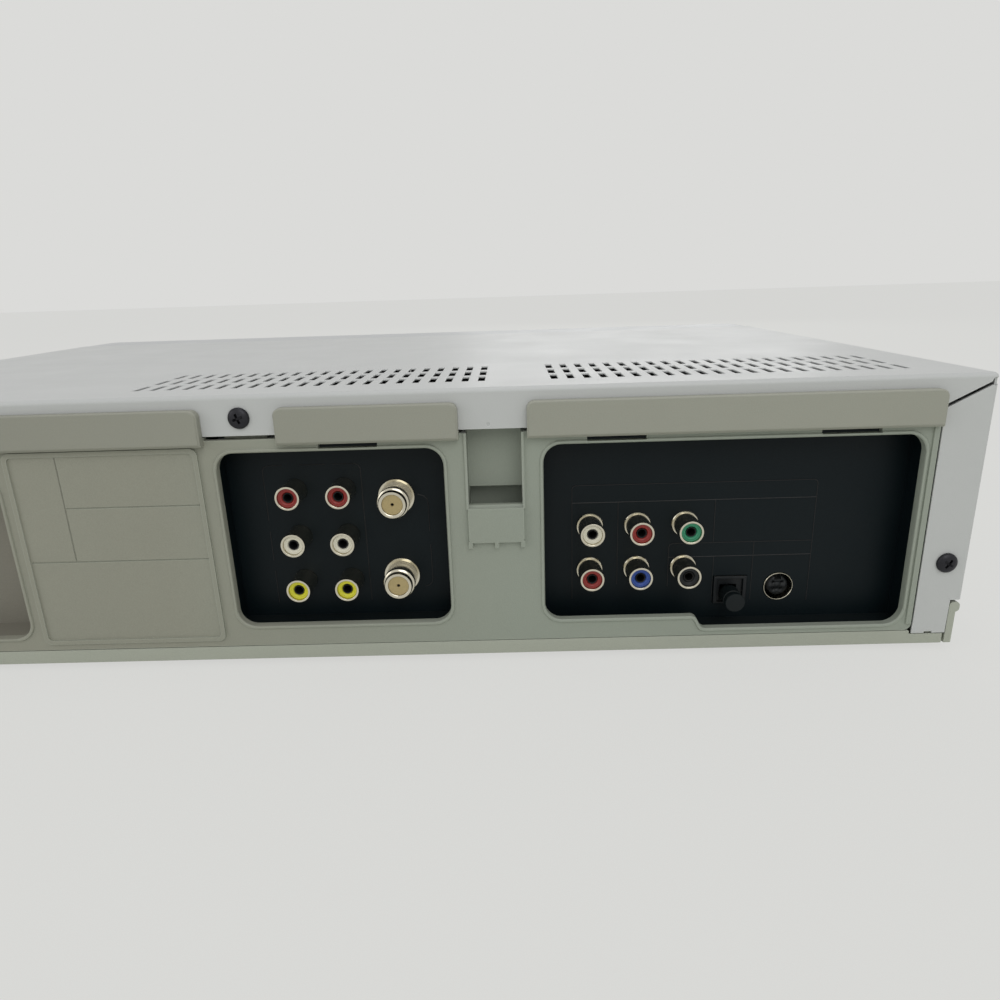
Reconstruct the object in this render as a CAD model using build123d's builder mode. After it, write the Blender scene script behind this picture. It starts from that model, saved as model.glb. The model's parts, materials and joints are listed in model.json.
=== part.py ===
"""A disc and cassette combination player, seen mostly from its connector side.

Frame: +Z up, the origin on the table under the middle of the case. The front
(tray and cassette door) faces -Y and the connector side faces +Y. Millimetres.
"""

import math
import os

from build123d import *

os.makedirs("parts", exist_ok=True)

# ---------------------------------------------------------------- case sizes
case_width = 430.0
case_top = 97.5
cover_depth = 240.0  # folded steel cover, front edge to connector side
bezel_depth = 36.5  # moulded front, from the cover's edge to the button faces
lip_proud = 3.5  # how far the rear panel's lips stand off the cover
sheet = 0.8  # cover and bottom plate steel
base_low = 2.5  # underside of the moulded base frame
clearance = 0.3  # between neighbouring fixed pieces
base_inset = 2.5  # the base frame's sides stand in from the cover's
running = 0.05  # radial clearance of a shaft in its bore

half_width = case_width / 2
rear_face = (cover_depth + bezel_depth - lip_proud) / 2
cover_front = rear_face - cover_depth
front_tip = cover_front - bezel_depth


def middle(span):
    return (span[0] + span[1]) / 2


def grown(span, by):
    return (min(span) - by, max(span) + by)


def around(centre, size):
    """The span of a given size about a centre."""
    return (centre - size / 2, centre + size / 2)


def onward(start, size):
    """The span that starts at a place and runs on from it."""
    return (start, start + size)


# ------------------------------------------------------------- cover details
cover_low = 6.6  # lower edge of the side walls
flange_low = 84.1  # lower edge of the turned-down rear flange
return_width = 15.8  # side walls turned in at the rear
bend = 1.6
miter_gap = 1.2
miter_relief_r = 1.4  # round relief where the slit meets the fold
miter_rise = 0.515  # slope of the corner slit
notch_top = 19.2
notch_width = 4.1
notch_depth = 6.5
edge_nick = 0.8  # small notch in the lower edge of each return
vent_width = 2.4
vent_length = 12.0
vent_columns = 22
vent_rows = 3
vent_pitch = 5.68
vent_row_pitch = 15.6
vent_edge = 22.4  # rear face to the nearest row
vent_from_side = 79.8  # side of the cover to the middle of the first group
vent_group_pitch = 144.4
vent_centres = (vent_from_side - half_width, vent_from_side + vent_group_pitch - half_width)

# --------------------------------------------------------- rear panel details
panel_wall = 2.2
panel_face = rear_face - 0.3
panel_back = panel_face - panel_wall
panel_half = half_width - return_width - 0.4
panel_low = 7.9
panel_top = flange_low - 1.3
lip_low = 81.2
lip_slope = 0.9  # the lip's lower front edge
lip_top = 93.2
lip_gap = 0.2  # lip to the steel flange behind it
lip_corner = 2.5
lip_bevel = 0.6
rim_width = 2.2
rim_proud = 0.7
window_corner = 6.0
bead_width = 1.3  # raised bead round each opening
bead_proud = 0.6
bead_bevel = 0.35
# places along the panel are taken from its disc side, except for the mains bay
dvd_window_x = onward(4.0 - panel_half, 124.3)
dvd_window_z = (15.4, 78.4)
dvd_drop_x = dvd_window_x[0] + 70.6  # left of this the window reaches lower
dvd_drop_z = 10.6
drop_corner = 2.4
channel_x = onward(dvd_window_x[1] + 7.1, 18.0)
channel_floor = 58.2
channel_depth = 8.0
pocket_depth = 14.0  # deeper part of the channel, behind the clip
pocket_z = (46.0, 62.5)
clip_z = (45.2, 57.4)
clip_proud = 1.8
vcr_window_x = onward(channel_x[1] + 7.8, 75.1)
vcr_window_z = (15.7, 78.4)
bay_x = onward(panel_half - 86.6, 79.8)
bay_z = (13.0, 72.0)
bay_depth = 13.0
label_x = (vcr_window_x[1] + 5.6, bay_x[0] - 4.1)
label_z = (10.4, 80.4)
label_proud = 0.8
label_border = 1.5
label_depth = 0.6
label_column = 17.4  # bay-side column of the plate field
lip_break = (vcr_window_x[1] - 21.7, vcr_window_x[1] + 2.9)
lip_spans = (
    (0.8 - panel_half, dvd_window_x[1] + 5.2),
    (channel_x[1] + 2.3, lip_break[0]),
    (lip_break[1], panel_half - 0.8),
)
lip_slot_width = 19.4
lip_slot_z = (79.2, 81.2)
lip_slots = (
    dvd_window_x[0] + 24.4,
    dvd_window_x[1] - 24.0,
    vcr_window_x[0] + 31.0,
)

# ------------------------------------------------------------- screw details
screw_head_r = 3.6
screw_head_h = 1.9
screw_r = 1.45
screw_length = 7.0
corner_screw_x = half_width - 7.6
corner_screw_z = 33.3
rear_screws = (
    (vcr_window_x[1] - 9.85, 90.0),
    (-corner_screw_x, corner_screw_z),
    (corner_screw_x, corner_screw_z),
)
side_screw_y = (cover_front + 33.5, rear_face - 76.5)
side_screw_z = 12.0

# ---------------------------------------------------------- connector details
plate_depth = 11.0  # rear panel face to the dark connector plates
plate_wall = 1.5
tub_margin = 1.3
plate_face = panel_face - plate_depth
rca_shell_r = 4.15
rca_wall = 0.55
rca_hole_r = 1.6
rca_ring_r = 4.75
rca_ring_h = 1.0
rca_length = 10.3
rca_tail = 3.5
front_jack_setback = 0.6
vcr_jack_x = (vcr_window_x[1] - 21.7, vcr_window_x[1] - 38.8)
vcr_jack_z = (62.0, 45.0, 28.1)
dvd_jack_x = (dvd_window_x[1] - 16.6, dvd_window_x[1] - 33.4, dvd_window_x[1] - 50.1)
dvd_jack_z = (46.0, 29.5)
f_jack_x = vcr_window_x[0] + 18.1
f_jack_z = (58.9, 29.3)
f_barrel_r = 4.7
f_bore_r = 3.6
f_washer_r = 6.45
f_washer_h = 0.8
f_nut_flats = 11.0
f_nut_h = 2.2
f_length = 10.8
svideo_at = (dvd_window_x[0] + 39.5, 21.1)
svideo_r = 5.25
optical_at = (dvd_window_x[0] + 56.9, 20.2)
optical_size = (11.8, 10.5)
cap_at = (optical_at[0] + 0.5, optical_at[1] - 1.2)
cap_head_r = 3.45
cap_head_y = (plate_face + 1.2, plate_face + 9.2)
cap_plug = 5.6
inlet_at = (middle(bay_x), 42.0)
inlet_width = 20.8
inlet_height = 10.4
pin_spacing = 8.6
pin_r = 1.2

# ------------------------------------------------------------- front details
bezel_wall = 2.5
bezel_face = front_tip + 2.0
chin_face = front_tip + 1.0
bezel_inner = bezel_face + bezel_wall
chin_z = (7.5, 47.0)
chin_half = half_width - 9.0
bezel_corner = 11.0
tongue = 6.0
window_half = half_width - 147.0
window_x = (-window_half, window_half)
window_z = (15.0, 41.0)
window_frame = 4.0
board_wall = 1.6
front_board_y = bezel_inner + 13.5
front_board_x = (-chin_half, chin_half)
front_board_z = (8.5, 45.0)
switch_height = 4.0
button_travel = 0.8
button_gap = 0.3
key_z = 31.0
power_at = (29.0 - half_width, key_z)
power_r = 8.0
key_size = (22.0, 9.0)
keys = {
    "open_button": (63.0 - half_width, key_z),
    "dvd_play_button": (93.0 - half_width, key_z),
    "dvd_stop_button": (122.0 - half_width, key_z),
    "vcr_eject_button": (half_width - 122.0, key_z),
    "vcr_play_button": (half_width - 93.0, key_z),
}
rocker_at = (half_width - 55.0, key_z)
rocker_size = (34.0, 9.0)
rocker_swing = 0.8  # room at each end of the rocker as it tilts
front_jack_x = (half_width - 47.0, half_width - 33.0, half_width - 19.0)
front_jack_z = 15.5
front_jack_hole = 5.7

# -------------------------------------------------------- disc loader details
disc_at = (107.0 - half_width, cover_front + 35.5)
disc_recess_r = 60.5
tray_half = 64.0
tray_z = (62.0, 68.0)
tray_y = (bezel_inner + 4.5, disc_at[1] + 120.0)
door_gap = 0.4
door_corner = 1.2
tray_door_x = around(disc_at[0], 144.0)
tray_door_z = (57.0, 74.0)
loader_half = 72.0
loader_y = (cover_front + 6.5, disc_at[1] + 156.0)
loader_floor_z = (46.0, 48.5)
loader_top = 76.5
loader_wall = 2.5
gear_teeth = 18
gear_module = 1.0
gear_at = (disc_at[0] + 57.1, disc_at[1] - 18.0)
gear_z = (57.5, 61.5)
gear_bore = 1.5
hinge_yz = (disc_at[1] + 113.0, 50.6)
traverse_tilt = 5.0  # how far the raised traverse is let down to free the tray
disc_plane = tray_z[1] + 0.2  # underside of a clamped disc
spindle_r = 10.0
turntable_r = 14.5
nose_r = 7.4  # spigot for the disc's 15 mm hole
nose_h = 2.2
rod_spread = 24.0
rod_r = 1.5
rod_z_at = 56.3
sled_motor_r = 4.8
pickup_radius = 24.0  # lens to spindle at the inner stop
puck_low = disc_plane + 0.8  # resting on the bridge, a disc lifts it a little
puck_r = 14.0
puck_neck_r = 8.0

# ----------------------------------------------------------- tape deck details
deck_width = 196.4
deck_from_side = 11.8
deck_x = (half_width - deck_from_side - deck_width, half_width - deck_from_side)
deck_middle = middle(deck_x)
deck_y = (cover_front + 7.5, cover_front + 161.5)
deck_z = (20.0, 21.2)
deck_wall = 1.2
slot_x = around(deck_middle, deck_width - 2.4)
slot_z = (53.6, 85.4)
flap_gap = 0.5
flap_wall = 2.0
flap_axis = (bezel_face + 2.6, 83.4)
flap_pin_r = 1.0
drum_at = (deck_middle, deck_y[0] + 171.0)
drum_r = 31.0
reel_y = deck_y[0] + 86.0
reel_x = (deck_middle - 46.0, deck_middle + 46.0)
reel_r = 19.0
reel_post_r = 1.8
capstan_at = (deck_middle + 52.0, drum_at[1] - 27.0)
capstan_r = 2.0
flywheel_r = 24.0
roller_r = 7.5
arm_pivot = (capstan_at[0] + 23.0, capstan_at[1] + 8.0)
arm_length = 14.7
arm_rest_angle = 158.6
cage_x = around(deck_middle, deck_width - 5.4)
cage_y = onward(deck_y[0] + 0.5, 100.0)
cage_z = (54.7, 82.8)
cage_travel = (34.0, -21.0)  # in along Y, down along Z
guide_pins = ((cage_y[0] + 15.5, 70.0), (cage_y[0] + 83.5, 70.0))
guide_pin_r = 1.5

# ------------------------------------------------------------ boards and feet
board_z = (11.5, 13.1)
main_board_x = (disc_at[0] - 62.0, deck_x[0] - 9.8)
main_board_y = (rear_face - 206.5, rear_face - 18.5)
power_board_x = (half_width - 61.0, half_width - 7.0)
power_board_y = (rear_face - 60.5, rear_face - 17.5)
transformer_at = (half_width - 37.0, middle(power_board_y) + 0.5)
bottom_z = (3.3, 3.3 + sheet)
foot_r = 9.0
foot_x = half_width - 35.0
foot_at = [(x, y) for x in (-foot_x, foot_x) for y in (cover_front + 28.5, rear_face - 31.5)]
standoff_r = 3.5
deck_screw_head = (2.8, 1.9)
deck_screw_r = 1.4


# ------------------------------------------------------------------- helpers
def block(x, y, z, mode=Mode.ADD):
    """A box between two values on each axis, in whichever order they come."""
    size = [abs(span[1] - span[0]) for span in (x, y, z)]
    with Locations((middle(x), middle(y), middle(z))):
        Box(*size, mode=mode)


def rod_y(x, z, y, r, mode=Mode.ADD):
    with Locations(Location((x, middle(y), z), (90, 0, 0))):
        Cylinder(r, abs(y[1] - y[0]), mode=mode)


def rod_x(y, z, x, r, mode=Mode.ADD):
    with Locations(Location((middle(x), y, z), (0, 90, 0))):
        Cylinder(r, abs(x[1] - x[0]), mode=mode)


def rod_z(x, y, z, r, mode=Mode.ADD):
    with Locations((x, y, middle(z))):
        Cylinder(r, abs(z[1] - z[0]), mode=mode)


def rounded_hole(x, z, y, corner, mode=Mode.SUBTRACT):
    """A rounded rectangle in X and Z, driven through along Y."""
    with BuildSketch(Plane.XZ.offset(-max(y))) as outline:
        with Locations((middle(x), middle(z))):
            RectangleRounded(abs(x[1] - x[0]), abs(z[1] - z[0]), corner)
    extrude(outline.sketch, amount=abs(y[1] - y[0]), mode=mode)


def write(piece, node):
    piece.label = node
    export_step(piece, f"parts/{node}.step")


# ----------------------------------------------------------------- top cover
with BuildPart() as top_cover:
    block((-half_width, half_width), (cover_front, rear_face), (cover_low, case_top))
    block(
        (-half_width + sheet, half_width - sheet),
        (cover_front, rear_face - sheet),
        (cover_low, case_top - sheet),
        mode=Mode.SUBTRACT,
    )
    folds = top_cover.edges().filter_by(Axis.Y).group_by(Axis.Z)[-1]
    fillet(folds, bend)
    rear_fold = top_cover.faces().sort_by(Axis.Y)[-1].edges().sort_by(Axis.Z)[-1]
    fillet(rear_fold, bend)
    # the rear is open between the flange and the two side returns
    opening_half = half_width - return_width
    block((-opening_half, opening_half), (rear_face - 2, rear_face + 1), (0, flange_low), Mode.SUBTRACT)
    for side in (-1, 1):
        corner = side * half_width
        block(
            (corner - side * notch_width, corner + side),
            (rear_face - notch_depth, rear_face + 1),
            (0, notch_top),
            Mode.SUBTRACT,
        )
        # slit between the flange and the side return
        slit_x = corner - side * 10.5
        slit_z = case_top - 2.2 - 10.5 * miter_rise
        angle = math.degrees(math.atan(miter_rise))
        with Locations(Location((slit_x, rear_face, slit_z), (0, -side * angle, 0))):
            Box(32, 3 * sheet, miter_gap, mode=Mode.SUBTRACT)
        relief_x = corner - side * (miter_relief_r - 0.4)
        relief_z = case_top - miter_relief_r - 1.4
        rod_y(relief_x, relief_z, (rear_face - 1.6, rear_face + 1), miter_relief_r, Mode.SUBTRACT)
        block(
            (corner - side * 11.5, corner - side * 8.7),
            (rear_face - 2, rear_face + 1),
            (0, cover_low + edge_nick),
            Mode.SUBTRACT,
        )
        for y in side_screw_y:
            rod_x(y, side_screw_z, (corner - 3, corner + 3), screw_r + 0.15, Mode.SUBTRACT)
    with BuildSketch(Plane.XY.offset(case_top)):
        for x in vent_centres:
            row_middle = rear_face - vent_edge - vent_row_pitch * (vent_rows - 1) / 2
            with Locations((x, row_middle)):
                with GridLocations(vent_pitch, vent_row_pitch, vent_columns, vent_rows):
                    Rectangle(vent_width, vent_length)
    extrude(amount=-2 * sheet, mode=Mode.SUBTRACT)
    for x, z in rear_screws:
        rod_y(x, z, (rear_face - 2, rear_face + 1), screw_r + 0.15, Mode.SUBTRACT)
    rod_y(middle(channel_x) + 1.6, flange_low + 1.5, (rear_face - 0.3, rear_face + 1), 0.7, Mode.SUBTRACT)
write(top_cover.part, "top_cover")

# ---------------------------------------------------------------- base frame
frame_half = half_width - base_inset
frame_y = (cover_front + clearance, rear_face - clearance)
frame_top = 6.3
side_wall = 2.9
side_top = 17.5
plate_half = frame_half - 4.9
plate_y = (frame_y[0] + 3.2, frame_y[1] - 3.2)
with BuildPart() as base_frame:
    wall_y = (frame_y[0], frame_y[1] - 2.5)
    block((-frame_half, frame_half), wall_y, (base_low, frame_top))
    block((-frame_half + 2.1, frame_half - 2.1), frame_y, (base_low, frame_top))
    # window in the floor, then the wider pocket that the steel plate drops into
    block(
        (-plate_half + 3, plate_half - 3),
        (plate_y[0] + 3, plate_y[1] - 3),
        (0, frame_top + 1),
        Mode.SUBTRACT,
    )
    block(
        (-plate_half - 0.2, plate_half + 0.2),
        grown(plate_y, 0.2),
        (bottom_z[0], frame_top + 1),
        Mode.SUBTRACT,
    )
    strip_half = panel_half - 0.3
    block((-strip_half, strip_half), (frame_y[1] - 2.8, frame_y[1]), (frame_top - 1, panel_low - 0.3))
    for side in (-1, 1):
        wall = (side * (frame_half - side_wall), side * frame_half)
        block(wall, wall_y, (base_low, side_top))
        # corner post that takes the rear screw, and the catch in the cover's notch
        post = (side * (half_width - return_width + 1.6), side * (frame_half - side_wall))
        block(post, (rear_face - 11, rear_face - sheet - clearance), (frame_top - 1, 42.0))
        catch = (side * (half_width - notch_width + clearance), side * (half_width - 0.2))
        catch_z = (side_top - 3.0, side_top + 0.7)
        catch_y = (rear_face - 5.5, rear_face - clearance)
        rounded_hole(catch, catch_z, catch_y, 1.4, Mode.ADD)
        stem = (side * (half_width - notch_width + clearance), side * (half_width - 1.4))
        block(stem, catch_y, (base_low, side_top - 1.5))
        for x, z in rear_screws[1:]:
            rod_y(x, z, (rear_face - 9, rear_face + 1), screw_r + running, Mode.SUBTRACT)
        for y in side_screw_y:
            boss = (side * (frame_half - side_wall - 5.5), side * (frame_half - side_wall))
            block(boss, (y - 4.5, y + 4.5), (frame_top - 1.0, side_top))
            bore = (side * (half_width - 10), side * (half_width + 1))
            rod_x(y, side_screw_z, bore, screw_r + running, Mode.SUBTRACT)
write(base_frame.part, "base_frame")

# -------------------------------------------------------------- bottom plate
main_posts = [(x, y) for x in grown(main_board_x, -5) for y in grown(main_board_y, -5)]
power_posts = [(x, y) for x in grown(power_board_x, -5) for y in grown(power_board_y, -5)]
deck_posts = [(deck_x[0] + 8, deck_y[0] + 5), (deck_x[1] - 8, deck_y[0] + 5)]
deck_posts += [(deck_x[0] + 8, deck_y[1] - 5), (deck_x[1] - 8, deck_y[1] - 5)]
with BuildPart() as bottom_plate:
    block((-plate_half, plate_half), plate_y, bottom_z)
    for x, y in main_posts + power_posts:
        rod_z(x, y, (bottom_z[1], board_z[0]), standoff_r)
    for x, y in deck_posts:
        rod_z(x, y, (bottom_z[1], deck_z[0]), standoff_r)
    for x, y in main_posts + power_posts:
        rod_z(x, y, (board_z[0] - 6, board_z[0]), deck_screw_r + running, Mode.SUBTRACT)
    for x, y in deck_posts:
        rod_z(x, y, (deck_z[0] - 6, deck_z[0]), deck_screw_r + running, Mode.SUBTRACT)
    # three fields of cooling slots under the boards and the deck
    with BuildSketch(Plane.XY.offset(bottom_z[1])):
        for x, y in (
            (disc_at[0], disc_at[1] + 98),
            (reel_x[0], reel_y + 20),
            (drum_at[0] + 15, drum_at[1] + 10),
        ):
            with Locations((x, y)):
                with GridLocations(9.0, 24.0, 7, 2):
                    SlotOverall(18.0, 3.0, rotation=90)
    extrude(amount=-2 * sheet, mode=Mode.SUBTRACT)
write(bottom_plate.part, "bottom_plate")

with BuildPart() as feet:
    for x, y in foot_at:
        rod_z(x, y, (0, bottom_z[0]), foot_r)
    rims = feet.edges().filter_by(GeomType.CIRCLE).group_by(Axis.Z)[0]
    fillet(rims, 0.8)
write(feet.part, "feet")

# ---------------------------------------------------------------- rear panel
# the disc side's window, whose outer part reaches lower
dvd_window_points = (
    (dvd_window_x[1], dvd_window_z[1]),
    (dvd_window_x[0], dvd_window_z[1]),
    (dvd_window_x[0], dvd_drop_z),
    (dvd_drop_x - 1.2, dvd_drop_z),
    (dvd_drop_x + 1.2, dvd_window_z[0]),
    (dvd_window_x[1], dvd_window_z[0]),
)
dvd_window_corners = (
    (grown((dvd_window_x[0],) * 2, 0.1), window_corner),
    (grown((dvd_window_x[1],) * 2, 0.1), window_corner),
    (grown((dvd_drop_x,) * 2, 1.3), drop_corner),
)
bead_y = (panel_face - 0.5, panel_face + bead_proud)
through = (panel_back - 1, panel_face + 1)
plate_tip = panel_face + label_proud
with BuildPart() as rear_panel:
    block((-panel_half, panel_half), (panel_back, panel_face), (panel_low, panel_top))
    lower_corners = rear_panel.edges().filter_by(Axis.Y).group_by(Axis.Z)[0]
    fillet(lower_corners, 2.5)
    for side in (-1, 1):
        rim = (side * (panel_half - rim_width), side * (panel_half - 0.4))
        block(rim, (panel_face, panel_face + rim_proud), (panel_low + 2.6, lip_low - 0.4))
    for span in lip_spans:
        block(span, (panel_back, panel_face), (panel_top - 1, flange_low - 0.4))

    # beads round the openings, then the openings
    bead_corner = window_corner + bead_width
    for x, z in ((vcr_window_x, vcr_window_z), (bay_x, bay_z)):
        rounded_hole(grown(x, bead_width), grown(z, bead_width), bead_y, bead_corner, Mode.ADD)
    with BuildSketch(Plane.XZ.offset(-bead_y[1])) as disc_bead:
        Polygon(*dvd_window_points, align=None)
        for span, corner in dvd_window_corners:
            fillet(disc_bead.vertices().filter_by_position(Axis.X, *span), corner)
        offset(amount=bead_width)
    extrude(amount=bead_y[1] - bead_y[0])
    for x, z in ((vcr_window_x, vcr_window_z), (bay_x, bay_z)):
        rounded_hole(x, z, through, window_corner)
    with BuildSketch(Plane.XZ.offset(-through[1])) as disc_window:
        Polygon(*dvd_window_points, align=None)
        for span, corner in dvd_window_corners:
            fillet(disc_window.vertices().filter_by_position(Axis.X, *span), corner)
    extrude(amount=through[1] - through[0], mode=Mode.SUBTRACT)
    tops = rear_panel.faces().filter_by(Axis.Y)
    tops = tops.filter_by_position(Axis.Y, bead_y[1] - 0.01, bead_y[1] + 0.01)
    chamfer(tops.edges(), bead_bevel)

    # tongue behind the flange for the upper screw, set back where the gap shows it
    screw_x, screw_z = rear_screws[0]
    block(
        (screw_x - 7, screw_x + 7),
        (rear_face - 6.5, rear_face - sheet - clearance),
        (panel_top - 1.5, screw_z + 5),
    )
    gap_z = (panel_top, flange_low + 0.6)
    block((screw_x - 8, screw_x + 8), (rear_face - 3.4, rear_face), gap_z, Mode.SUBTRACT)
    rod_y(screw_x, screw_z, (rear_face - 9, rear_face + 1), screw_r + running, Mode.SUBTRACT)

    block(channel_x, through, (channel_floor, panel_top + 1), Mode.SUBTRACT)
    for x in lip_slots:
        block(around(x, lip_slot_width), through, lip_slot_z, Mode.SUBTRACT)

    # cord clip below the channel: a proud plate with three short legs
    clip_face = (panel_face - 0.5, panel_face + clip_proud)
    block(grown(channel_x, 0.3), clip_face, clip_z)
    for x in (channel_x[0] + 0.2, middle(channel_x), channel_x[1] - 0.2):
        block((x - 0.7, x + 0.7), clip_face, (clip_z[0] - 2.0, clip_z[0] + 0.5))
    for x in channel_x:
        outward = 0.9 if x > middle(channel_x) else -0.9
        block((x, x + outward), (panel_face - 0.5, panel_face + 0.8), (clip_z[1] - 0.5, panel_top))

    # raised plate with a border and dividing grooves; it carries no words
    rounded_hole(label_x, label_z, (panel_face - 0.5, plate_tip), 2.5, Mode.ADD)
    field_x, field_z = grown(label_x, -label_border), grown(label_z, -label_border)
    field = plate_tip - label_depth
    rounded_hole(field_x, field_z, (field, plate_tip + 1), 1.6)
    groove = (field - 0.35, field + 0.1)
    column = label_x[1] - label_column
    block(around(column, 0.5), groove, (41.9, field_z[1] - 0.3), Mode.SUBTRACT)
    block(grown(field_x, -0.3), groove, (41.4, 41.9), Mode.SUBTRACT)
    block((field_x[0] + 0.3, column), groove, (60.7, 61.2), Mode.SUBTRACT)
write(rear_panel.part, "rear_panel")

# three lips that cover the lower edge of the steel flange
lip_tip = rear_face + lip_proud
with BuildPart() as rear_lips:
    for span in lip_spans:
        block(span, (rear_face + lip_gap, lip_tip), (lip_low, lip_top))
        block(span, (panel_face, rear_face + 1.0), (lip_low, flange_low - 0.4))
    crown = rear_lips.edges().filter_by(Axis.Y).group_by(Axis.Z)[-1]
    fillet(crown, lip_corner)
    upper_edges = (lip_top - lip_corner, lip_top + 1, lip_bevel)
    for low, high, cut in ((lip_low - 0.1, lip_low + 0.1, lip_slope), upper_edges):
        lip_faces = rear_lips.faces().filter_by(Axis.Y).group_by(Axis.Y)[-1]
        fronts = [e for face in lip_faces for e in face.edges()]
        chamfer([e for e in fronts if low < e.center().Z < high], cut)
write(rear_lips.part, "rear_lips")

# open-topped tub behind the panel for a tied-back cord, deeper behind the clip
with BuildPart() as cord_channel:
    tub_x = grown(channel_x, 1.6)
    block(tub_x, (panel_face - channel_depth - 1.6, panel_back), (pocket_z[0] - 1.6, panel_top))
    pocket_back = panel_face - pocket_depth
    block(tub_x, (pocket_back - 1.6, panel_back), grown(pocket_z, 1.6))
    channel_y = (panel_face - channel_depth, panel_back + 1)
    block(channel_x, channel_y, (pocket_z[0], panel_top + 1), Mode.SUBTRACT)
    block(channel_x, (pocket_back, panel_back + 1), pocket_z, Mode.SUBTRACT)

# rounded tub behind the panel for the mains inlet
with BuildPart() as mains_bay:
    bay_back = panel_face - bay_depth
    bay_walls = (bay_back - 1.8, panel_back)
    rounded_hole(grown(bay_x, 1.8), grown(bay_z, 1.8), bay_walls, window_corner + 1.8, Mode.ADD)
    rounded_hole(bay_x, bay_z, (bay_back, panel_back + 1), window_corner)
    inlet_x = grown(around(inlet_at[0], inlet_width), clearance)
    inlet_z = grown(around(inlet_at[1], inlet_height), clearance)
    block(inlet_x, (bay_back - 3, bay_back + 1), inlet_z, Mode.SUBTRACT)
write(cord_channel.part + mains_bay.part, "rear_pockets")


# ---------------------------------------------------------- connector plates
def connector_tub(window_x, window_z):
    """Dark plate with a rim that reaches forward to the rear panel."""
    inside_x, inside_z = grown(window_x, tub_margin), grown(window_z, tub_margin)
    block(
        grown(inside_x, plate_wall),
        (plate_face - plate_wall, panel_back - 0.2),
        grown(inside_z, plate_wall),
    )
    block(inside_x, (plate_face, panel_back + 1), inside_z, Mode.SUBTRACT)


rca_bore = rca_shell_r + 0.1
plate_holes = (plate_face - plate_wall - 1, plate_face + 1)
with BuildPart() as jack_plate_vcr:
    connector_tub(vcr_window_x, vcr_window_z)
    for x in vcr_jack_x:
        for z in vcr_jack_z:
            rod_y(x, z, plate_holes, rca_bore, Mode.SUBTRACT)
    for z in f_jack_z:
        rod_y(f_jack_x, z, plate_holes, f_barrel_r + 0.1, Mode.SUBTRACT)
write(jack_plate_vcr.part, "jack_plate_vcr")

with BuildPart() as jack_plate_dvd:
    connector_tub(dvd_window_x, (dvd_drop_z, dvd_window_z[1]))
    for x in dvd_jack_x:
        for z in dvd_jack_z:
            rod_y(x, z, plate_holes, rca_bore, Mode.SUBTRACT)
    rod_y(*svideo_at, plate_holes, svideo_r + 0.1, Mode.SUBTRACT)
    with Locations((optical_at[0], plate_face, optical_at[1])):
        Box(optical_size[0] + 0.2, 4 * plate_wall, optical_size[1] + 0.2, mode=Mode.SUBTRACT)
write(jack_plate_dvd.part, "jack_plate_dvd")

# ---------------------------------------------------------------- phono jacks
rear_jacks = [(x, z) for x in vcr_jack_x for z in vcr_jack_z]
rear_jacks += [(x, z) for x in dvd_jack_x for z in dvd_jack_z]
front_jacks = [(x, front_jack_z) for x in front_jack_x]
rear_tip = plate_face + rca_length
front_tip_y = chin_face + front_jack_setback
shell_bore = rca_shell_r - rca_wall
with BuildPart() as rca_shells:
    for x, z in rear_jacks:
        rod_y(x, z, (plate_face - rca_tail, rear_tip), rca_shell_r)
        rod_y(x, z, (plate_face, plate_face + rca_ring_h), rca_ring_r)
        rod_y(x, z, (plate_face - rca_tail + 0.6, rear_tip + 1), shell_bore, Mode.SUBTRACT)
    for x, z in front_jacks:
        rod_y(x, z, (front_tip_y, front_board_y), rca_shell_r)
        rod_y(x, z, (front_tip_y - 1, front_board_y - 0.6), shell_bore, Mode.SUBTRACT)
write(rca_shells.part, "rca_shells")


def phono_inserts(rear=(), front=()):
    """Coloured insulators: a stepped ring around the centre contact's hole."""
    insert_r = shell_bore - running
    with BuildPart() as inserts:
        for x, z in rear:
            rod_y(x, z, (plate_face - rca_tail + 0.6, rear_tip - 0.35), insert_r)
            rod_y(x, z, (rear_tip - 1.1, rear_tip), insert_r - 0.85, Mode.SUBTRACT)
            rod_y(x, z, (rear_tip - 2.0, rear_tip - 0.6), rca_hole_r + 0.65)
            rod_y(x, z, (plate_face, rear_tip + 1), rca_hole_r, Mode.SUBTRACT)
        for x, z in front:
            rod_y(x, z, (front_tip_y + 0.35, front_board_y - 0.6), insert_r)
            rod_y(x, z, (front_tip_y - 1, front_board_y - 3), rca_hole_r, Mode.SUBTRACT)
    return inserts.part


vcr_out, vcr_in = vcr_jack_x
dvd_a, dvd_b, dvd_c = dvd_jack_x
high, low = dvd_jack_z
red = phono_inserts(
    [(vcr_out, vcr_jack_z[0]), (vcr_in, vcr_jack_z[0]), (dvd_b, high), (dvd_a, low)],
    [front_jacks[2]],
)
white = phono_inserts(
    [(vcr_out, vcr_jack_z[1]), (vcr_in, vcr_jack_z[1]), (dvd_a, high)],
    [front_jacks[1]],
)
yellow = phono_inserts(
    [(vcr_out, vcr_jack_z[2]), (vcr_in, vcr_jack_z[2])],
    [front_jacks[0]],
)
black = phono_inserts([(dvd_c, low)])
write(red, "rca_inserts_red")
write(white, "rca_inserts_white")
write(yellow, "rca_inserts_yellow")
write(phono_inserts([(dvd_c, high)]), "rca_insert_green")
write(phono_inserts([(dvd_b, low)]), "rca_insert_blue")

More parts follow.
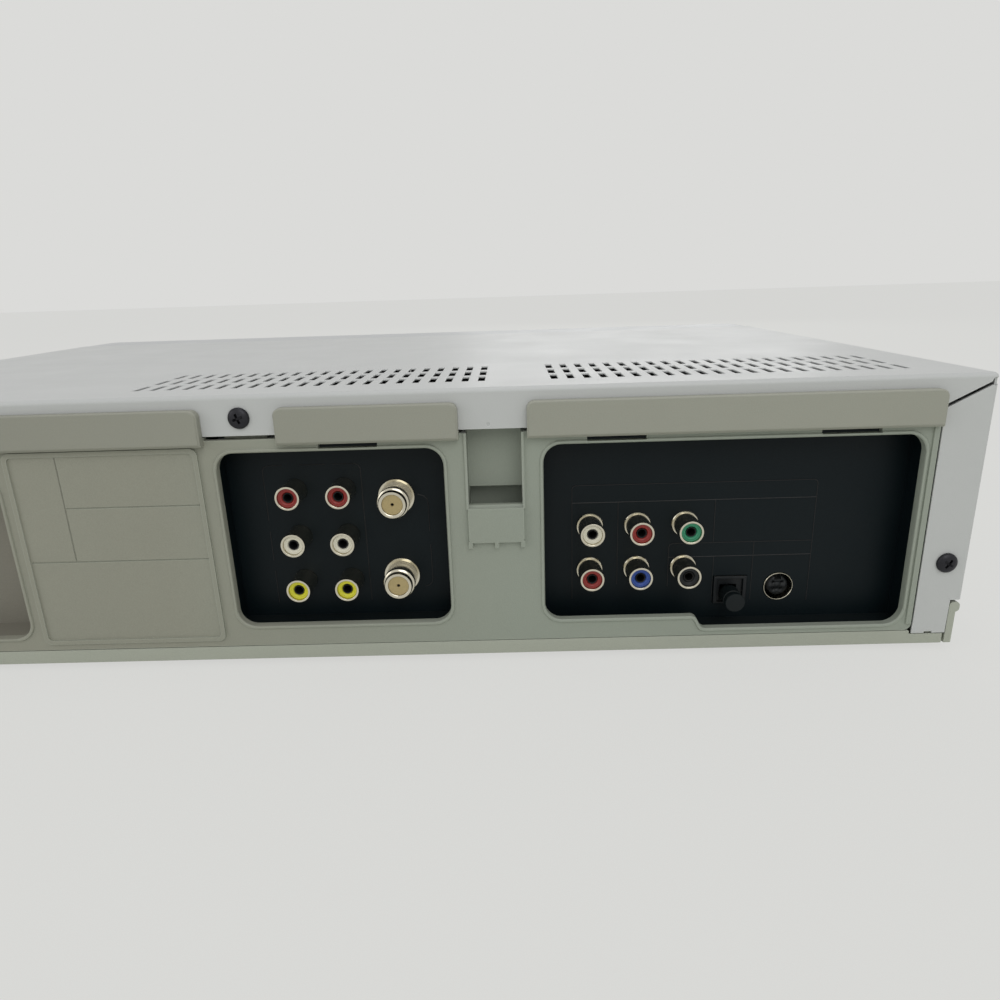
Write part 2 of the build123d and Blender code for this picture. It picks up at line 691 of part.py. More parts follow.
# ---------------------------------------------------------------- aerial jacks
f_tip = plate_face + f_length
f_back = plate_face - plate_wall
washer_y = (plate_face, plate_face + f_washer_h)
with BuildPart() as f_connectors:
    for z in f_jack_z:
        rod_y(f_jack_x, z, (f_back, f_tip), f_barrel_r)
        rod_y(f_jack_x, z, washer_y, f_washer_r)
        with BuildSketch(Plane.XZ.offset(-washer_y[1])):
            with Locations((f_jack_x, z)):
                RegularPolygon(f_nut_flats / 2, 6, major_radius=False)
        extrude(amount=-f_nut_h)
        rod_y(f_jack_x, z, (f_back - 1, f_tip + 1), f_bore_r, Mode.SUBTRACT)
    tips = f_connectors.edges().filter_by(GeomType.CIRCLE).group_by(Axis.Y)[-1]
    chamfer(tips, 0.35)
write(f_connectors.part, "f_connectors")

with BuildPart() as f_dielectrics:
    for z in f_jack_z:
        rod_y(f_jack_x, z, (f_back, f_tip - 0.7), f_bore_r - running)
        rod_y(f_jack_x, z, (f_back + 2, f_tip + 1), 0.55, Mode.SUBTRACT)
write(f_dielectrics.part, "f_dielectrics")

# -------------------------------------------------------- round video connector
shield_y = (plate_face - 7.0, plate_face + 0.6)
with BuildPart() as svideo_shield:
    rod_y(*svideo_at, shield_y, svideo_r)
    rod_y(*svideo_at, grown(shield_y, 1), svideo_r - 0.45, Mode.SUBTRACT)
write(svideo_shield.part, "svideo_shield")

with BuildPart() as svideo_jack:
    rod_y(*svideo_at, (shield_y[0], plate_face - 4.6), svideo_r - 0.45 - running)
    rod_y(*svideo_at, (shield_y[0], plate_face - 0.4), 3.6)
    for dx, dz in ((-1.5, 1.2), (1.5, 1.2), (-1.2, -1.4), (1.2, -1.4)):
        hole = (svideo_at[0] + dx, svideo_at[1] + dz)
        rod_y(*hole, (plate_face - 4, plate_face + 1), 0.5, Mode.SUBTRACT)
    with Locations((svideo_at[0], plate_face - 1, svideo_at[1] + 2.9)):
        Box(2.4, 4, 1.4, mode=Mode.SUBTRACT)
write(svideo_jack.part + black, "black_inserts")

# ------------------------------------------------------- optical jack and cap
with BuildPart() as optical_jack:
    with Locations((optical_at[0], plate_face - 4.5, optical_at[1])):
        Box(optical_size[0], 10.4, optical_size[1])
    # raised surround, then the square socket with its floor
    block(
        (optical_at[0] - 4.6, optical_at[0] + 4.6),
        (plate_face - 0.4, plate_face + 2),
        (optical_at[1] - 4.6, optical_at[1] + 4.2),
        Mode.SUBTRACT,
    )
    socket = cap_plug / 2 + 0.1
    block(
        (cap_at[0] - socket, cap_at[0] + socket),
        (plate_face - 8.2, plate_face + 2),
        (cap_at[1] - socket, cap_at[1] + socket),
        Mode.SUBTRACT,
    )
write(optical_jack.part, "optical_jack")

with BuildPart() as dust_cap:
    rod_y(*cap_at, cap_head_y, cap_head_r)
    rod_y(*cap_at, (plate_face - 0.1, cap_head_y[0]), 2.2)
    with Locations((cap_at[0], plate_face - 4.0, cap_at[1])):
        Box(cap_plug, 8.0, cap_plug)
    cap_rim = dust_cap.edges().filter_by(GeomType.CIRCLE).group_by(Axis.Y)[-1]
    fillet(cap_rim, 0.6)
write(dust_cap.part, "dust_cap")

# -------------------------------------------------------------- mains inlet
inlet_back = panel_face - bay_depth - 11
inlet_front = panel_face - bay_depth + 1.2
with BuildPart() as ac_inlet:
    block(
        (inlet_at[0] - inlet_width / 2, inlet_at[0] + inlet_width / 2),
        (inlet_back, panel_face - bay_depth),
        (inlet_at[1] - inlet_height / 2, inlet_at[1] + inlet_height / 2),
    )
    with BuildSketch(Plane.XZ.offset(-inlet_front)):
        with Locations(inlet_at):
            SlotOverall(inlet_width + 5, inlet_height + 4)
    extrude(amount=inlet_front - (panel_face - bay_depth))
    with BuildSketch(Plane.XZ.offset(-inlet_front)):
        for side in (-1, 1):
            with Locations((inlet_at[0] + side * pin_spacing / 2, inlet_at[1])):
                Circle(3.9)
        with Locations(inlet_at):
            Rectangle(pin_spacing, 5.4)
    extrude(amount=inlet_front - inlet_back - 1.5, mode=Mode.SUBTRACT)
    for side in (-1, 1):
        pin_x = inlet_at[0] + side * pin_spacing / 2
        rod_y(pin_x, inlet_at[1], (inlet_back, inlet_front - 4.5), pin_r)
write(ac_inlet.part, "ac_inlet")

# ---------------------------------------------------------------- front bezel
skirt_half = half_width - sheet - clearance
rocker_post_y = bezel_inner + 3.0
rocker_x = (rocker_at[0] - rocker_size[0] / 2, rocker_at[0] + rocker_size[0] / 2)
rocker_z = (rocker_at[1] - rocker_size[1] / 2, rocker_at[1] + rocker_size[1] / 2)
boss_at = [(side * (window_half + 12.0), 12.0) for side in (-1, 1)]
boss_at += [(2.0 - chin_half, 14.0), (2.0 - chin_half, 42.0), (chin_half - 2.0, 42.0)]


def bezel_outline(inset, rear):
    """Plan view of the bezel: square at the cover, rounded at the front."""
    width = case_width - 2 * inset
    depth = rear - (bezel_face + inset)
    with Locations((0, rear - depth / 2)):
        Rectangle(width, depth)


def round_the_front(edges):
    """The edges that run round the front and its two rounded corners."""
    return [e for e in edges if e.center().Y < cover_front - 0.1 and abs(e.center().X) < half_width - 0.1]


with BuildPart() as front_bezel:
    with BuildSketch(Plane.XY.offset(base_low)) as plan:
        bezel_outline(0, cover_front)
        fillet(plan.vertices().group_by(Axis.Y)[0], bezel_corner)
    extrude(amount=case_top - base_low)
    front_edges = front_bezel.faces().sort_by(Axis.Z)[-1].edges().sort_by(Axis.Y)[:-1]
    fillet(round_the_front(front_edges), 4.5)
    low_edges = front_bezel.faces().sort_by(Axis.Z)[0].edges()
    fillet(round_the_front(low_edges), 2.0)
    # raised control band across the lower front
    with BuildSketch(Plane.XZ.offset(-chin_face)):
        with Locations((0, middle(chin_z))):
            RectangleRounded(2 * chin_half, chin_z[1] - chin_z[0], 5)
    extrude(amount=-(bezel_inner - chin_face))
    band = front_bezel.faces().sort_by(Axis.Y)[0].edges()
    fillet(band, 0.8)
    # tongue that slides inside the cover
    tongue_z = (cover_low + clearance, case_top - sheet - clearance)
    block((-skirt_half, skirt_half), (cover_front - 1, cover_front + tongue), tongue_z)
    with BuildSketch(Plane.XY.offset(base_low + bezel_wall)) as hollow:
        bezel_outline(bezel_wall, cover_front + tongue + 1)
        fillet(hollow.vertices().group_by(Axis.Y)[0], bezel_corner - bezel_wall)
    extrude(amount=case_top - base_low - 2 * bezel_wall, mode=Mode.SUBTRACT)
    block(
        (-skirt_half - 1, skirt_half + 1),
        (cover_front + 0.01, cover_front + tongue + 1),
        (0, side_top + 0.8),
        Mode.SUBTRACT,
    )

    front_cut = (front_tip - 1, bezel_inner + 0.5)
    rounded_hole(
        grown(tray_door_x, door_gap), grown(tray_door_z, door_gap), front_cut, door_corner + door_gap
    )
    rounded_hole(slot_x, slot_z, front_cut, door_corner + flap_gap)
    rounded_hole(window_x, window_z, (chin_face - 1, chin_face + 2.0), 3.0)
    rounded_hole(grown(window_x, -window_frame), grown(window_z, -3.0), front_cut, 1.5)
    rod_y(*power_at, front_cut, power_r + button_gap, Mode.SUBTRACT)
    for x, z in keys.values():
        hole_x = (x - key_size[0] / 2 - button_gap, x + key_size[0] / 2 + button_gap)
        hole_z = (z - key_size[1] / 2 - button_gap, z + key_size[1] / 2 + button_gap)
        rounded_hole(hole_x, hole_z, front_cut, 3.3)
    rounded_hole(grown(rocker_x, rocker_swing), grown(rocker_z, button_gap), front_cut, 3.3)
    for x in front_jack_x:
        rod_y(x, front_jack_z, front_cut, front_jack_hole, Mode.SUBTRACT)

    # shelf that guides a cassette from the door to the cage
    block(grown(slot_x, 1.0), (bezel_inner - 1, cage_y[0] - 2.5), (slot_z[0] - 2.4, slot_z[0] - 0.2))
    for x, z in boss_at:
        rod_y(x, z, (bezel_inner - 1, front_board_y), 3.0)
    # ears for the cassette door's pins
    for side in (-1, 1):
        end = middle(slot_x) + side * (slot_x[1] - slot_x[0]) / 2
        ear = (end + side * 0.6, end + side * 4.4)
        block(ear, (bezel_inner - 1, flap_axis[0] + 4), (flap_axis[1] - 3.5, flap_axis[1] + 3.5))
        pin_end = (end - side, end + side * 3.2)
        rod_x(flap_axis[0], flap_axis[1], pin_end, flap_pin_r + running, Mode.SUBTRACT)
    # ears above and below the rocker
    for side in (-1, 1):
        edge = rocker_at[1] + side * (rocker_size[1] / 2 + 1.4)
        ear_z = (edge, edge + side * 2.0)
        block((rocker_at[0] - 3, rocker_at[0] + 3), (bezel_inner - 1, rocker_post_y + 2.5), ear_z)
        rod_z(
            rocker_at[0],
            rocker_post_y,
            (rocker_at[1], rocker_at[1] + side * (rocker_size[1] / 2 + 2.8)),
            1.0 + running,
            Mode.SUBTRACT,
        )
write(front_bezel.part, "front_bezel")

with BuildPart() as display_window:
    rounded_hole(
        grown(window_x, -0.15), grown(window_z, -0.15), (chin_face + 0.2, chin_face + 2.0), 2.8, Mode.ADD
    )
write(display_window.part, "display_window")

# -------------------------------------------------------------- front board
switch_x = [power_at] + list(keys.values())
switch_x += [(rocker_at[0] + side * 12, rocker_at[1]) for side in (-1, 1)]
with BuildPart() as front_pcb:
    block(front_board_x, (front_board_y, front_board_y + board_wall), front_board_z)
    for x, z in switch_x:
        block((x - 3, x + 3), (front_board_y - switch_height, front_board_y), (z - 3, z + 3))
    block(grown(window_x, -8), (bezel_inner + 1.5, front_board_y), grown(window_z, -4))
    block((-30, -6), (front_board_y + board_wall, front_board_y + 8), (12, 20))  # cable socket
write(front_pcb.part, "front_pcb")


# ------------------------------------------------------------------- buttons
button_back = front_board_y - switch_height - button_travel - clearance


def button(node, at, shape):
    """A cap through the bezel, a flange behind it and a stem to its switch."""
    x, z = at
    with BuildPart() as key:
        with BuildSketch(Plane.XZ.offset(-front_tip)):
            with Locations((x, z)):
                shape(0)
        extrude(amount=-(bezel_inner + 0.4 - front_tip))
        cap_edges = key.faces().sort_by(Axis.Y)[0].edges()
        fillet(cap_edges, 0.4)
        with BuildSketch(Plane.XZ.offset(-(bezel_inner + 0.15))):
            with Locations((x, z)):
                shape(1.2)
        extrude(amount=-1.2)
        rod_y(x, z, (bezel_inner, button_back), 2.0)
    write(key.part, node)


def pill(grow):
    width, height = key_size[0] + 2 * grow, key_size[1] + 2 * grow
    RectangleRounded(width, height, 3.0)


button("power_button", power_at, lambda grow: Circle(power_r + grow))
for node, at in keys.items():
    button(node, at, pill)

with BuildPart() as wind_rocker:
    rounded_hole(rocker_x, rocker_z, (front_tip, bezel_inner + 1.0), 3.0, Mode.ADD)
    rocker_rim = wind_rocker.faces().sort_by(Axis.Y)[0].edges()
    fillet(rocker_rim, 0.4)
    block(
        (rocker_at[0] - 2.2, rocker_at[0] + 2.2),
        (bezel_inner, rocker_post_y + 2.0),
        rocker_z,
    )
    pin_reach = rocker_size[1] / 2 + 2.6
    rod_z(rocker_at[0], rocker_post_y, (rocker_at[1] - pin_reach, rocker_at[1] + pin_reach), 1.0)
    for side in (-1, 1):
        stem_x = rocker_at[0] + side * 12
        rod_y(stem_x, rocker_at[1], (bezel_inner, button_back - 0.6), 1.6)
write(wind_rocker.part, "wind_rocker")

# ------------------------------------------------------------- cassette door
flap_x = grown(slot_x, -flap_gap)
flap_z = (slot_z[0] + flap_gap, slot_z[1] - 0.6)
with BuildPart() as cassette_flap:
    rounded_hole(flap_x, flap_z, (bezel_face, bezel_face + flap_wall), door_corner, Mode.ADD)
    face_edges = cassette_flap.faces().sort_by(Axis.Y)[0].edges()
    fillet(face_edges, 0.5)
    for side in (-1, 1):
        end = middle(flap_x) + side * (flap_x[1] - flap_x[0]) / 2
        rod_x(flap_axis[0], flap_axis[1], (end - side * 6, end), 1.5)
        rod_x(flap_axis[0], flap_axis[1], (end - side, end + side * 3.2), flap_pin_r)
    # stiffening bar along the inside
    block(grown(flap_x, -20), (bezel_face + flap_wall, bezel_face + flap_wall + 1.0), (60.0, 61.5))
write(cassette_flap.part, "cassette_flap")

# ------------------------------------------------------------------ disc tray
pitch = math.pi * gear_module
gear_pitch_r = gear_module * gear_teeth / 2
backlash = 0.12  # taken off each tooth's half thickness
rack_line = gear_at[0] - gear_pitch_r - 0.1
pressure = math.radians(20)


def rack_outline(y_from, y_to):
    """Straight-sided teeth facing +X, with a gap opposite the pinion."""
    half_tip = pitch / 4 - backlash - gear_module * math.tan(pressure)
    half_root = pitch / 4 - backlash + 1.25 * gear_module * math.tan(pressure)
    first = math.ceil((y_from - gear_at[1]) / pitch - 0.5)
    last = math.floor((y_to - gear_at[1]) / pitch - 0.5)
    points = [(rack_line - 4.0, y_from), (rack_line - 1.25, y_from)]
    for k in range(first + 1, last):
        centre = gear_at[1] + (k + 0.5) * pitch
        points += [(rack_line - 1.25, centre - half_root), (rack_line + 1.0, centre - half_tip)]
        points += [(rack_line + 1.0, centre + half_tip), (rack_line - 1.25, centre + half_root)]
    return points + [(rack_line - 1.25, y_to), (rack_line - 4.0, y_to)]


with BuildPart() as disc_tray:
    block((disc_at[0] - tray_half, disc_at[0] + tray_half), tray_y, tray_z)
    tray_corners = disc_tray.edges().filter_by(Axis.Z)
    fillet(tray_corners, 4.0)
    rod_z(*disc_at, (tray_z[0] + 3.0, tray_z[1] + 1), disc_recess_r, Mode.SUBTRACT)
    rod_z(*disc_at, (tray_z[0] + 2.0, tray_z[1]), 41.0, Mode.SUBTRACT)
    with BuildSketch(Plane.XY.offset(tray_z[1])):
        with Locations((disc_at[0], disc_at[1] + 22.5)):
            RectangleRounded(38.0, 83.0, 17.0)
    extrude(amount=-(tray_z[1] - tray_z[0] + 1), mode=Mode.SUBTRACT)
    # finger notches each side of the disc, lightening pocket at the back
    for side in (-1, 1):
        rod_z(disc_at[0] + side * 62, disc_at[1], (tray_z[0] + 3.0, tray_z[1] + 1), 9.0, Mode.SUBTRACT)
    block(
        (disc_at[0] - 50, disc_at[0] + 50),
        (disc_at[1] + 72, tray_y[1] - 5),
        (tray_z[0] + 2.0, tray_z[1] + 1),
        Mode.SUBTRACT,
    )
    with BuildSketch(Plane.XY.offset(gear_z[0] - 0.2)):
        with BuildLine():
            Polyline(*rack_outline(disc_at[1] - 38, tray_y[1]), close=True)
        make_face()
    extrude(amount=tray_z[0] - gear_z[0] + 0.4)
write(disc_tray.part, "disc_tray")

with BuildPart() as tray_front:
    rounded_hole(tray_door_x, tray_door_z, (bezel_face, bezel_face + 2.4), door_corner, Mode.ADD)
    fillet(tray_front.faces().sort_by(Axis.Y)[0].edges(), 0.7)
    for x in (disc_at[0] - 40, disc_at[0] + 40):
        block((x - 12, x + 12), (bezel_face + 2.0, tray_y[0]), tray_z)
write(tray_front.part, "tray_front")


def involute_gear(teeth, module, thin):
    """Outline of a spur gear with one tooth pointing along -X."""
    pitch_r = module * teeth / 2
    base_r = pitch_r * math.cos(pressure)
    root_r = pitch_r - 1.25 * module
    tip_r = pitch_r + 0.95 * module
    half = math.pi / (2 * teeth) - thin / pitch_r
    inv_pitch = math.tan(pressure) - pressure
    points = []
    for k in range(teeth):
        centre = math.pi + 2 * math.pi * k / teeth
        flank = []
        for i in range(5):
            r = base_r + (tip_r - base_r) * i / 4
            at = math.acos(min(1.0, base_r / r))
            flank.append((r, half + inv_pitch - (math.tan(at) - at)))
        rising = [(root_r, flank[0][1])] + flank
        for r, a in rising:
            points.append((r * math.cos(centre - a), r * math.sin(centre - a)))
        for r, a in reversed(rising):
            points.append((r * math.cos(centre + a), r * math.sin(centre + a)))
    return points


with BuildPart() as tray_gear:
    with BuildSketch(Plane((*gear_at, gear_z[0]))):
        with BuildLine():
            Polyline(*involute_gear(gear_teeth, gear_module, backlash), close=True)
        make_face()
    extrude(amount=gear_z[1] - gear_z[0])
    rod_z(*gear_at, (loader_floor_z[1] + clearance, gear_z[0]), 4.0)
    rod_z(*gear_at, (loader_floor_z[1], gear_z[1] + 1), gear_bore + running, Mode.SUBTRACT)
write(tray_gear.part, "tray_gear")

# --------------------------------------------------------------- disc loader
loader_x = (disc_at[0] - loader_half, disc_at[0] + loader_half)
loader_leg_r = 3.8
loader_legs = [(x, y) for x in grown(loader_x, -4.5) for y in grown(loader_y, -8.0)]
runner_z = (tray_z[0] - 3.4, tray_z[0] - clearance)
keeper_z = (tray_z[1] + clearance, tray_z[1] + 2.3)
ear_gap = 1.0
plate_span = (disc_at[0] - 39.0, disc_at[0] + 39.0)
hinge_pin_r = 2.0
with BuildPart() as loader_frame:
    block(loader_x, loader_y, loader_floor_z)
    block(
        (disc_at[0] - 44, disc_at[0] + 44),
        (loader_y[0] + 3, hinge_yz[0] + 9),
        grown(loader_floor_z, 1),
        Mode.SUBTRACT,
    )
    block(loader_x, (loader_y[1] - loader_wall, loader_y[1]), (loader_floor_z[0], 60.0))
    for side in (-1, 1):
        outside = disc_at[0] + side * loader_half
        inside = outside - side * loader_wall
        block((inside, outside), loader_y, (loader_floor_z[0], loader_top))
        reach = disc_at[0] + side * (tray_half - 2.5)
        runner_start = loader_y[0] if side < 0 else gear_at[1] + 26
        block((reach, inside), (runner_start, loader_y[1]), runner_z)
        block((reach + side, inside), (disc_at[1] + 28, loader_y[1]), keeper_z)
        # ear for the traverse hinge
        ear_near = disc_at[0] + side * (39.0 + ear_gap)
        block(
            (ear_near, disc_at[0] + side * 47.0),
            (hinge_yz[0] - 5, hinge_yz[0] + 5),
            (loader_floor_z[0], hinge_yz[1] + 5),
        )
        bore = (ear_near - side, disc_at[0] + side * 44.5)
        rod_x(*hinge_yz, bore, hinge_pin_r + running, Mode.SUBTRACT)
    for x, y in loader_legs:
        rod_z(x, y, (bottom_z[1], loader_floor_z[0] + 0.5), loader_leg_r)
    rod_z(*gear_at, (loader_floor_z[0], gear_z[1] - 0.2), gear_bore)
write(loader_frame.part, "loader_frame")


# The traverse is drawn in its raised, level position and then let down.
hinge_line = Axis((0, hinge_yz[0], hinge_yz[1]), (1, 0, 0))


def let_down(piece, node):
    write(piece.rotate(hinge_line, traverse_tilt), node)


traverse_z = (50.0, 51.2)
rod_span = (disc_at[1] - 20.0, disc_at[1] + 88.0)
pickup_y = disc_at[1] + pickup_radius
turntable_low = disc_plane - 5.0
screw_x = disc_at[0] - 34.0
with BuildPart() as traverse_plate:
    block(plate_span, (disc_at[1] - 24, hinge_yz[0] + 5), traverse_z)
    window = (disc_at[1] + 14, disc_at[1] + 80)
    block(around(disc_at[0], 34), window, grown(traverse_z, 1), Mode.SUBTRACT)
    for side in (-1, 1):
        x = disc_at[0] + side * rod_spread
        for y in rod_span:
            block((x - 3, x + 3), (y - 2, y + 2), (traverse_z[0], rod_z_at + 3))
        rod_y(x, rod_z_at, grown(rod_span, 3), rod_r + 0.02, Mode.SUBTRACT)
        knuckle = (disc_at[0] + side * 39.0, disc_at[0] + side * 34.0)
        block(knuckle, (hinge_yz[0] - 3, hinge_yz[0] + 3), (traverse_z[0], hinge_yz[1] + 3))
        rod_x(*hinge_yz, (knuckle[1], disc_at[0] + side * 44.0), hinge_pin_r)
    for y in (disc_at[1] + 14, disc_at[1] + 94):
        block((screw_x - 2.5, screw_x + 2.5), (y - 1.5, y + 1.5), (traverse_z[0], rod_z_at + 3))
        rod_y(screw_x, rod_z_at, (y - 3, y + 3), 1.5 + running, Mode.SUBTRACT)
let_down(traverse_plate.part, "traverse_plate")

with BuildPart() as traverse_motors:
    rod_z(*disc_at, (traverse_z[1], turntable_low - 1.3), spindle_r)
    rod_z(*disc_at, (turntable_low - 1.3, turntable_low - 0.4), 3.0)
    rod_z(*disc_at, (traverse_z[1] + 1, turntable_low), 1.0 + running, Mode.SUBTRACT)
    rod_y(screw_x, rod_z_at, onward(disc_at[1] + 97.5, 10.5), sled_motor_r)
let_down(traverse_motors.part, "traverse_motors")

with BuildPart() as sled_rods:
    for side in (-1, 1):
        rod_y(disc_at[0] + side * rod_spread, rod_z_at, grown(rod_span, 2), rod_r)
let_down(sled_rods.part, "sled_rods")

with BuildPart() as disc_turntable:
    rod_z(*disc_at, (turntable_low, disc_plane), turntable_r)
    rod_z(*disc_at, (disc_plane, disc_plane + nose_h), nose_r)
    rod_z(*disc_at, (traverse_z[1] + 2, turntable_low), 1.0)
    nose = disc_turntable.edges().filter_by(GeomType.CIRCLE).group_by(Axis.Z)[-1]
    chamfer(nose, 1.2)
let_down(disc_turntable.part, "disc_turntable")

with BuildPart() as pickup:
    block((disc_at[0] - 28, disc_at[0] + 28), (pickup_y - 11.5, pickup_y + 12), (52.5, 60.5))
    rod_z(disc_at[0], pickup_y, (60.5, disc_plane - 1.8), 4.5)
    rod_z(disc_at[0], pickup_y, (disc_plane - 2.6, disc_plane), 2.6, Mode.SUBTRACT)
    for side in (-1, 1):
        x = disc_at[0] + side * rod_spread
        rod_y(x, rod_z_at, (pickup_y - 20, pickup_y + 20), rod_r + running, Mode.SUBTRACT)
    # follower that rides on the lead screw
    block((screw_x + 1.75, disc_at[0] - 28), (pickup_y - 3, pickup_y + 3), (rod_z_at - 2, rod_z_at + 2))
let_down(pickup.part, "pickup")

with BuildPart() as lead_screw:
    rod_y(screw_x, rod_z_at, (disc_at[1] + 12, disc_at[1] + 97.2), 1.5)
let_down(lead_screw.part, "lead_screw")

with BuildPart() as clamp_bridge:
    block(loader_x, (disc_at[1] - 24, disc_at[1] + 24), (loader_top, loader_top + 1.2))
    rod_z(*disc_at, (loader_top - 1, loader_top + 3), puck_neck_r + clearance, Mode.SUBTRACT)
write(clamp_bridge.part, "clamp_bridge")

puck_seat = loader_top + 1.2 + clearance
with BuildPart() as clamp_puck:
    rod_z(*disc_at, (puck_low, puck_low + 4.0), puck_r)
    rod_z(*disc_at, (puck_low + 4.0, puck_seat), puck_neck_r)
    rod_z(*disc_at, (puck_seat, puck_seat + 2.0), puck_r - 1)
    rod_z(*disc_at, (puck_low - 1, disc_plane + nose_h + 0.5), nose_r + 0.6, Mode.SUBTRACT)
write(clamp_puck.part, "clamp_puck")

# ------------------------------------------------------------ tape deck plate
wall_top = 90.0
with BuildPart() as vcr_chassis:
    block(deck_x, deck_y, deck_z)
    block((drum_at[0] - 45, drum_at[0] + 45), (deck_y[1] - 1, drum_at[1] + 33), deck_z)
    for side in (-1, 1):
        outside = middle(deck_x) + side * (deck_x[1] - deck_x[0]) / 2
        wall = (outside - side * deck_wall, outside)
        block(wall, (deck_y[0], deck_y[0] + 130), (deck_z[0], wall_top))
        for y, z in guide_pins:
            # straight guide slot for the cage's pin, from eject to play
            slope = math.degrees(math.atan2(cage_travel[1], cage_travel[0]))
            length = math.hypot(*cage_travel) + 2 * (guide_pin_r + 0.25)
            mid = (middle(wall), y + cage_travel[0] / 2, z + cage_travel[1] / 2)
            with BuildSketch(Plane(mid, x_dir=(0, 1, 0), z_dir=(1, 0, 0))):
                SlotOverall(length, 2 * (guide_pin_r + 0.25), rotation=slope)
            extrude(amount=3, both=True, mode=Mode.SUBTRACT)
    rod_z(*capstan_at, (deck_z[0] - 5.2, deck_z[1] + 3), 5.0)
    rod_z(*capstan_at, (deck_z[0] - 6, deck_z[1] + 4), capstan_r + running, Mode.SUBTRACT)
    rod_z(*arm_pivot, (deck_z[0], deck_z[1] + 9), 3.0)
    for x in reel_x:
        rod_z(x, reel_y, (deck_z[0], deck_z[1] + 16), reel_post_r)
    for x, y in deck_posts:
        rod_z(x, y, grown(deck_z, 1), deck_screw_r + 0.15, Mode.SUBTRACT)
write(vcr_chassis.part, "vcr_chassis")

with BuildPart() as lower_drum:
    rod_z(*drum_at, (deck_z[1], deck_z[1] + 3), drum_r + 2)
    rod_z(*drum_at, (deck_z[1] + 3, deck_z[1] + 20), drum_r)
    rod_z(*drum_at, (deck_z[1] + 4, deck_z[1] + 21), 3.0 + running, Mode.SUBTRACT)
write(lower_drum.part, "lower_drum")

drum_split = deck_z[1] + 20.3
with BuildPart() as upper_drum:
    rod_z(*drum_at, (drum_split, drum_split + 17), drum_r)
    rod_z(*drum_at, (drum_split + 12, drum_split + 18), 22.0, Mode.SUBTRACT)
    rod_z(*drum_at, (drum_split + 11, drum_split + 20), 8.0)
    rod_z(*drum_at, (deck_z[1] + 4.3, drum_split + 1), 3.0)
    drum_rim = upper_drum.edges().filter_by(GeomType.CIRCLE).group_by(Axis.Z)[-2]
    chamfer([e for e in drum_rim if e.radius > drum_r - 0.5], 0.8)
write(upper_drum.part, "upper_drum")

with BuildPart() as tape_heads:
    for x, y, top in (
        (deck_middle + 38, capstan_at[1], 46.0),
        (deck_middle - 43, capstan_at[1] + 2, 44.0),
    ):
        block((x - 5, x + 5), (y - 4, y + 4), (deck_z[1], deck_z[1] + 3))
        block((x - 4, x + 4), (y - 2.5, y + 4), (deck_z[1] + 3, top))
write(tape_heads.part, "tape_heads")

with BuildPart() as capstan:
    rod_z(*capstan_at, (8.5, 50.0), capstan_r)
    rod_z(*capstan_at, (8.5, 14.2), flywheel_r)
    rim = capstan.edges().filter_by(GeomType.CIRCLE).filter_by(lambda e: e.radius > flywheel_r - 0.5)
    chamfer(rim, 0.6)
write(capstan.part, "capstan")


def splined_reel(node, x):
    """Friction table with a splined hub that drives the cassette's reel."""
    with BuildPart() as reel:
        rod_z(x, reel_y, (deck_z[1] + clearance, deck_z[1] + 4), reel_r)
        rod_z(x, reel_y, (deck_z[1] + 4, deck_z[1] + 17.5), 4.6)
        for k in range(3):
            turn = 2 * math.pi * k / 3
            spline = (x + 5.0 * math.cos(turn), reel_y + 5.0 * math.sin(turn))
            rod_z(*spline, (deck_z[1] + 4, deck_z[1] + 15), 1.2)
        rod_z(x, reel_y, (deck_z[1], deck_z[1] + 16.3), reel_post_r + running, Mode.SUBTRACT)
    write(reel.part, node)


splined_reel("supply_reel", reel_x[0])
splined_reel("takeup_reel", reel_x[1])

# ------------------------------------------------------------- pinch roller
rest = math.radians(arm_rest_angle)
roller_at = (arm_pivot[0] + arm_length * math.cos(rest), arm_pivot[1] + arm_length * math.sin(rest))
arm_z = (deck_z[1] + 3, deck_z[1] + 5)
with BuildPart() as pinch_arm:
    rod_z(*arm_pivot, arm_z, 5.5)
    rod_z(*roller_at, arm_z, 4.0)
    middle_at = (middle((arm_pivot[0], roller_at[0])), middle((arm_pivot[1], roller_at[1])))
    with Locations(Location((*middle_at, middle(arm_z)), (0, 0, arm_rest_angle))):
        Box(arm_length, 6.0, arm_z[1] - arm_z[0])
    rod_z(*roller_at, (arm_z[1], arm_z[1] + 18), 1.5)
    rod_z(*arm_pivot, (arm_z[1], deck_z[1] + 8), 5.0)
    rod_z(*arm_pivot, (deck_z[1], deck_z[1] + 12), 3.0 + running, Mode.SUBTRACT)
write(pinch_arm.part, "pinch_arm")

with BuildPart() as pinch_roller:
    rod_z(*roller_at, (arm_z[1] + clearance, arm_z[1] + 16), roller_r)
    rod_z(*roller_at, (arm_z[1], arm_z[1] + 17), 1.5 + running, Mode.SUBTRACT)
write(pinch_roller.part, "pinch_roller")

# ------------------------------------------------------------- cassette cage
with BuildPart() as cassette_cage:
    block(cage_x, cage_y, cage_z)
    block(grown(cage_x, -0.8), grown(cage_y, 1), grown(cage_z, -0.8), Mode.SUBTRACT)
    block(
        grown(cage_x, -16.5),
        (cage_y[0] + 11.5, cage_y[1] + 1),
        (cage_z[0] - 1, cage_z[0] + 2),
        Mode.SUBTRACT,
    )
    lid_window = (cage_y[0] + 25.5, cage_y[0] + 75.5)
    block(around(deck_middle, 50), lid_window, (cage_z[1] - 2, cage_z[1] + 1), Mode.SUBTRACT)
    for side in (-1, 1):
        outside = middle(cage_x) + side * (cage_x[1] - cage_x[0]) / 2
        for y, z in guide_pins:
            rod_x(y, z, (outside - side * 0.4, outside + side * 2.5), guide_pin_r)
write(cassette_cage.part, "cassette_cage")

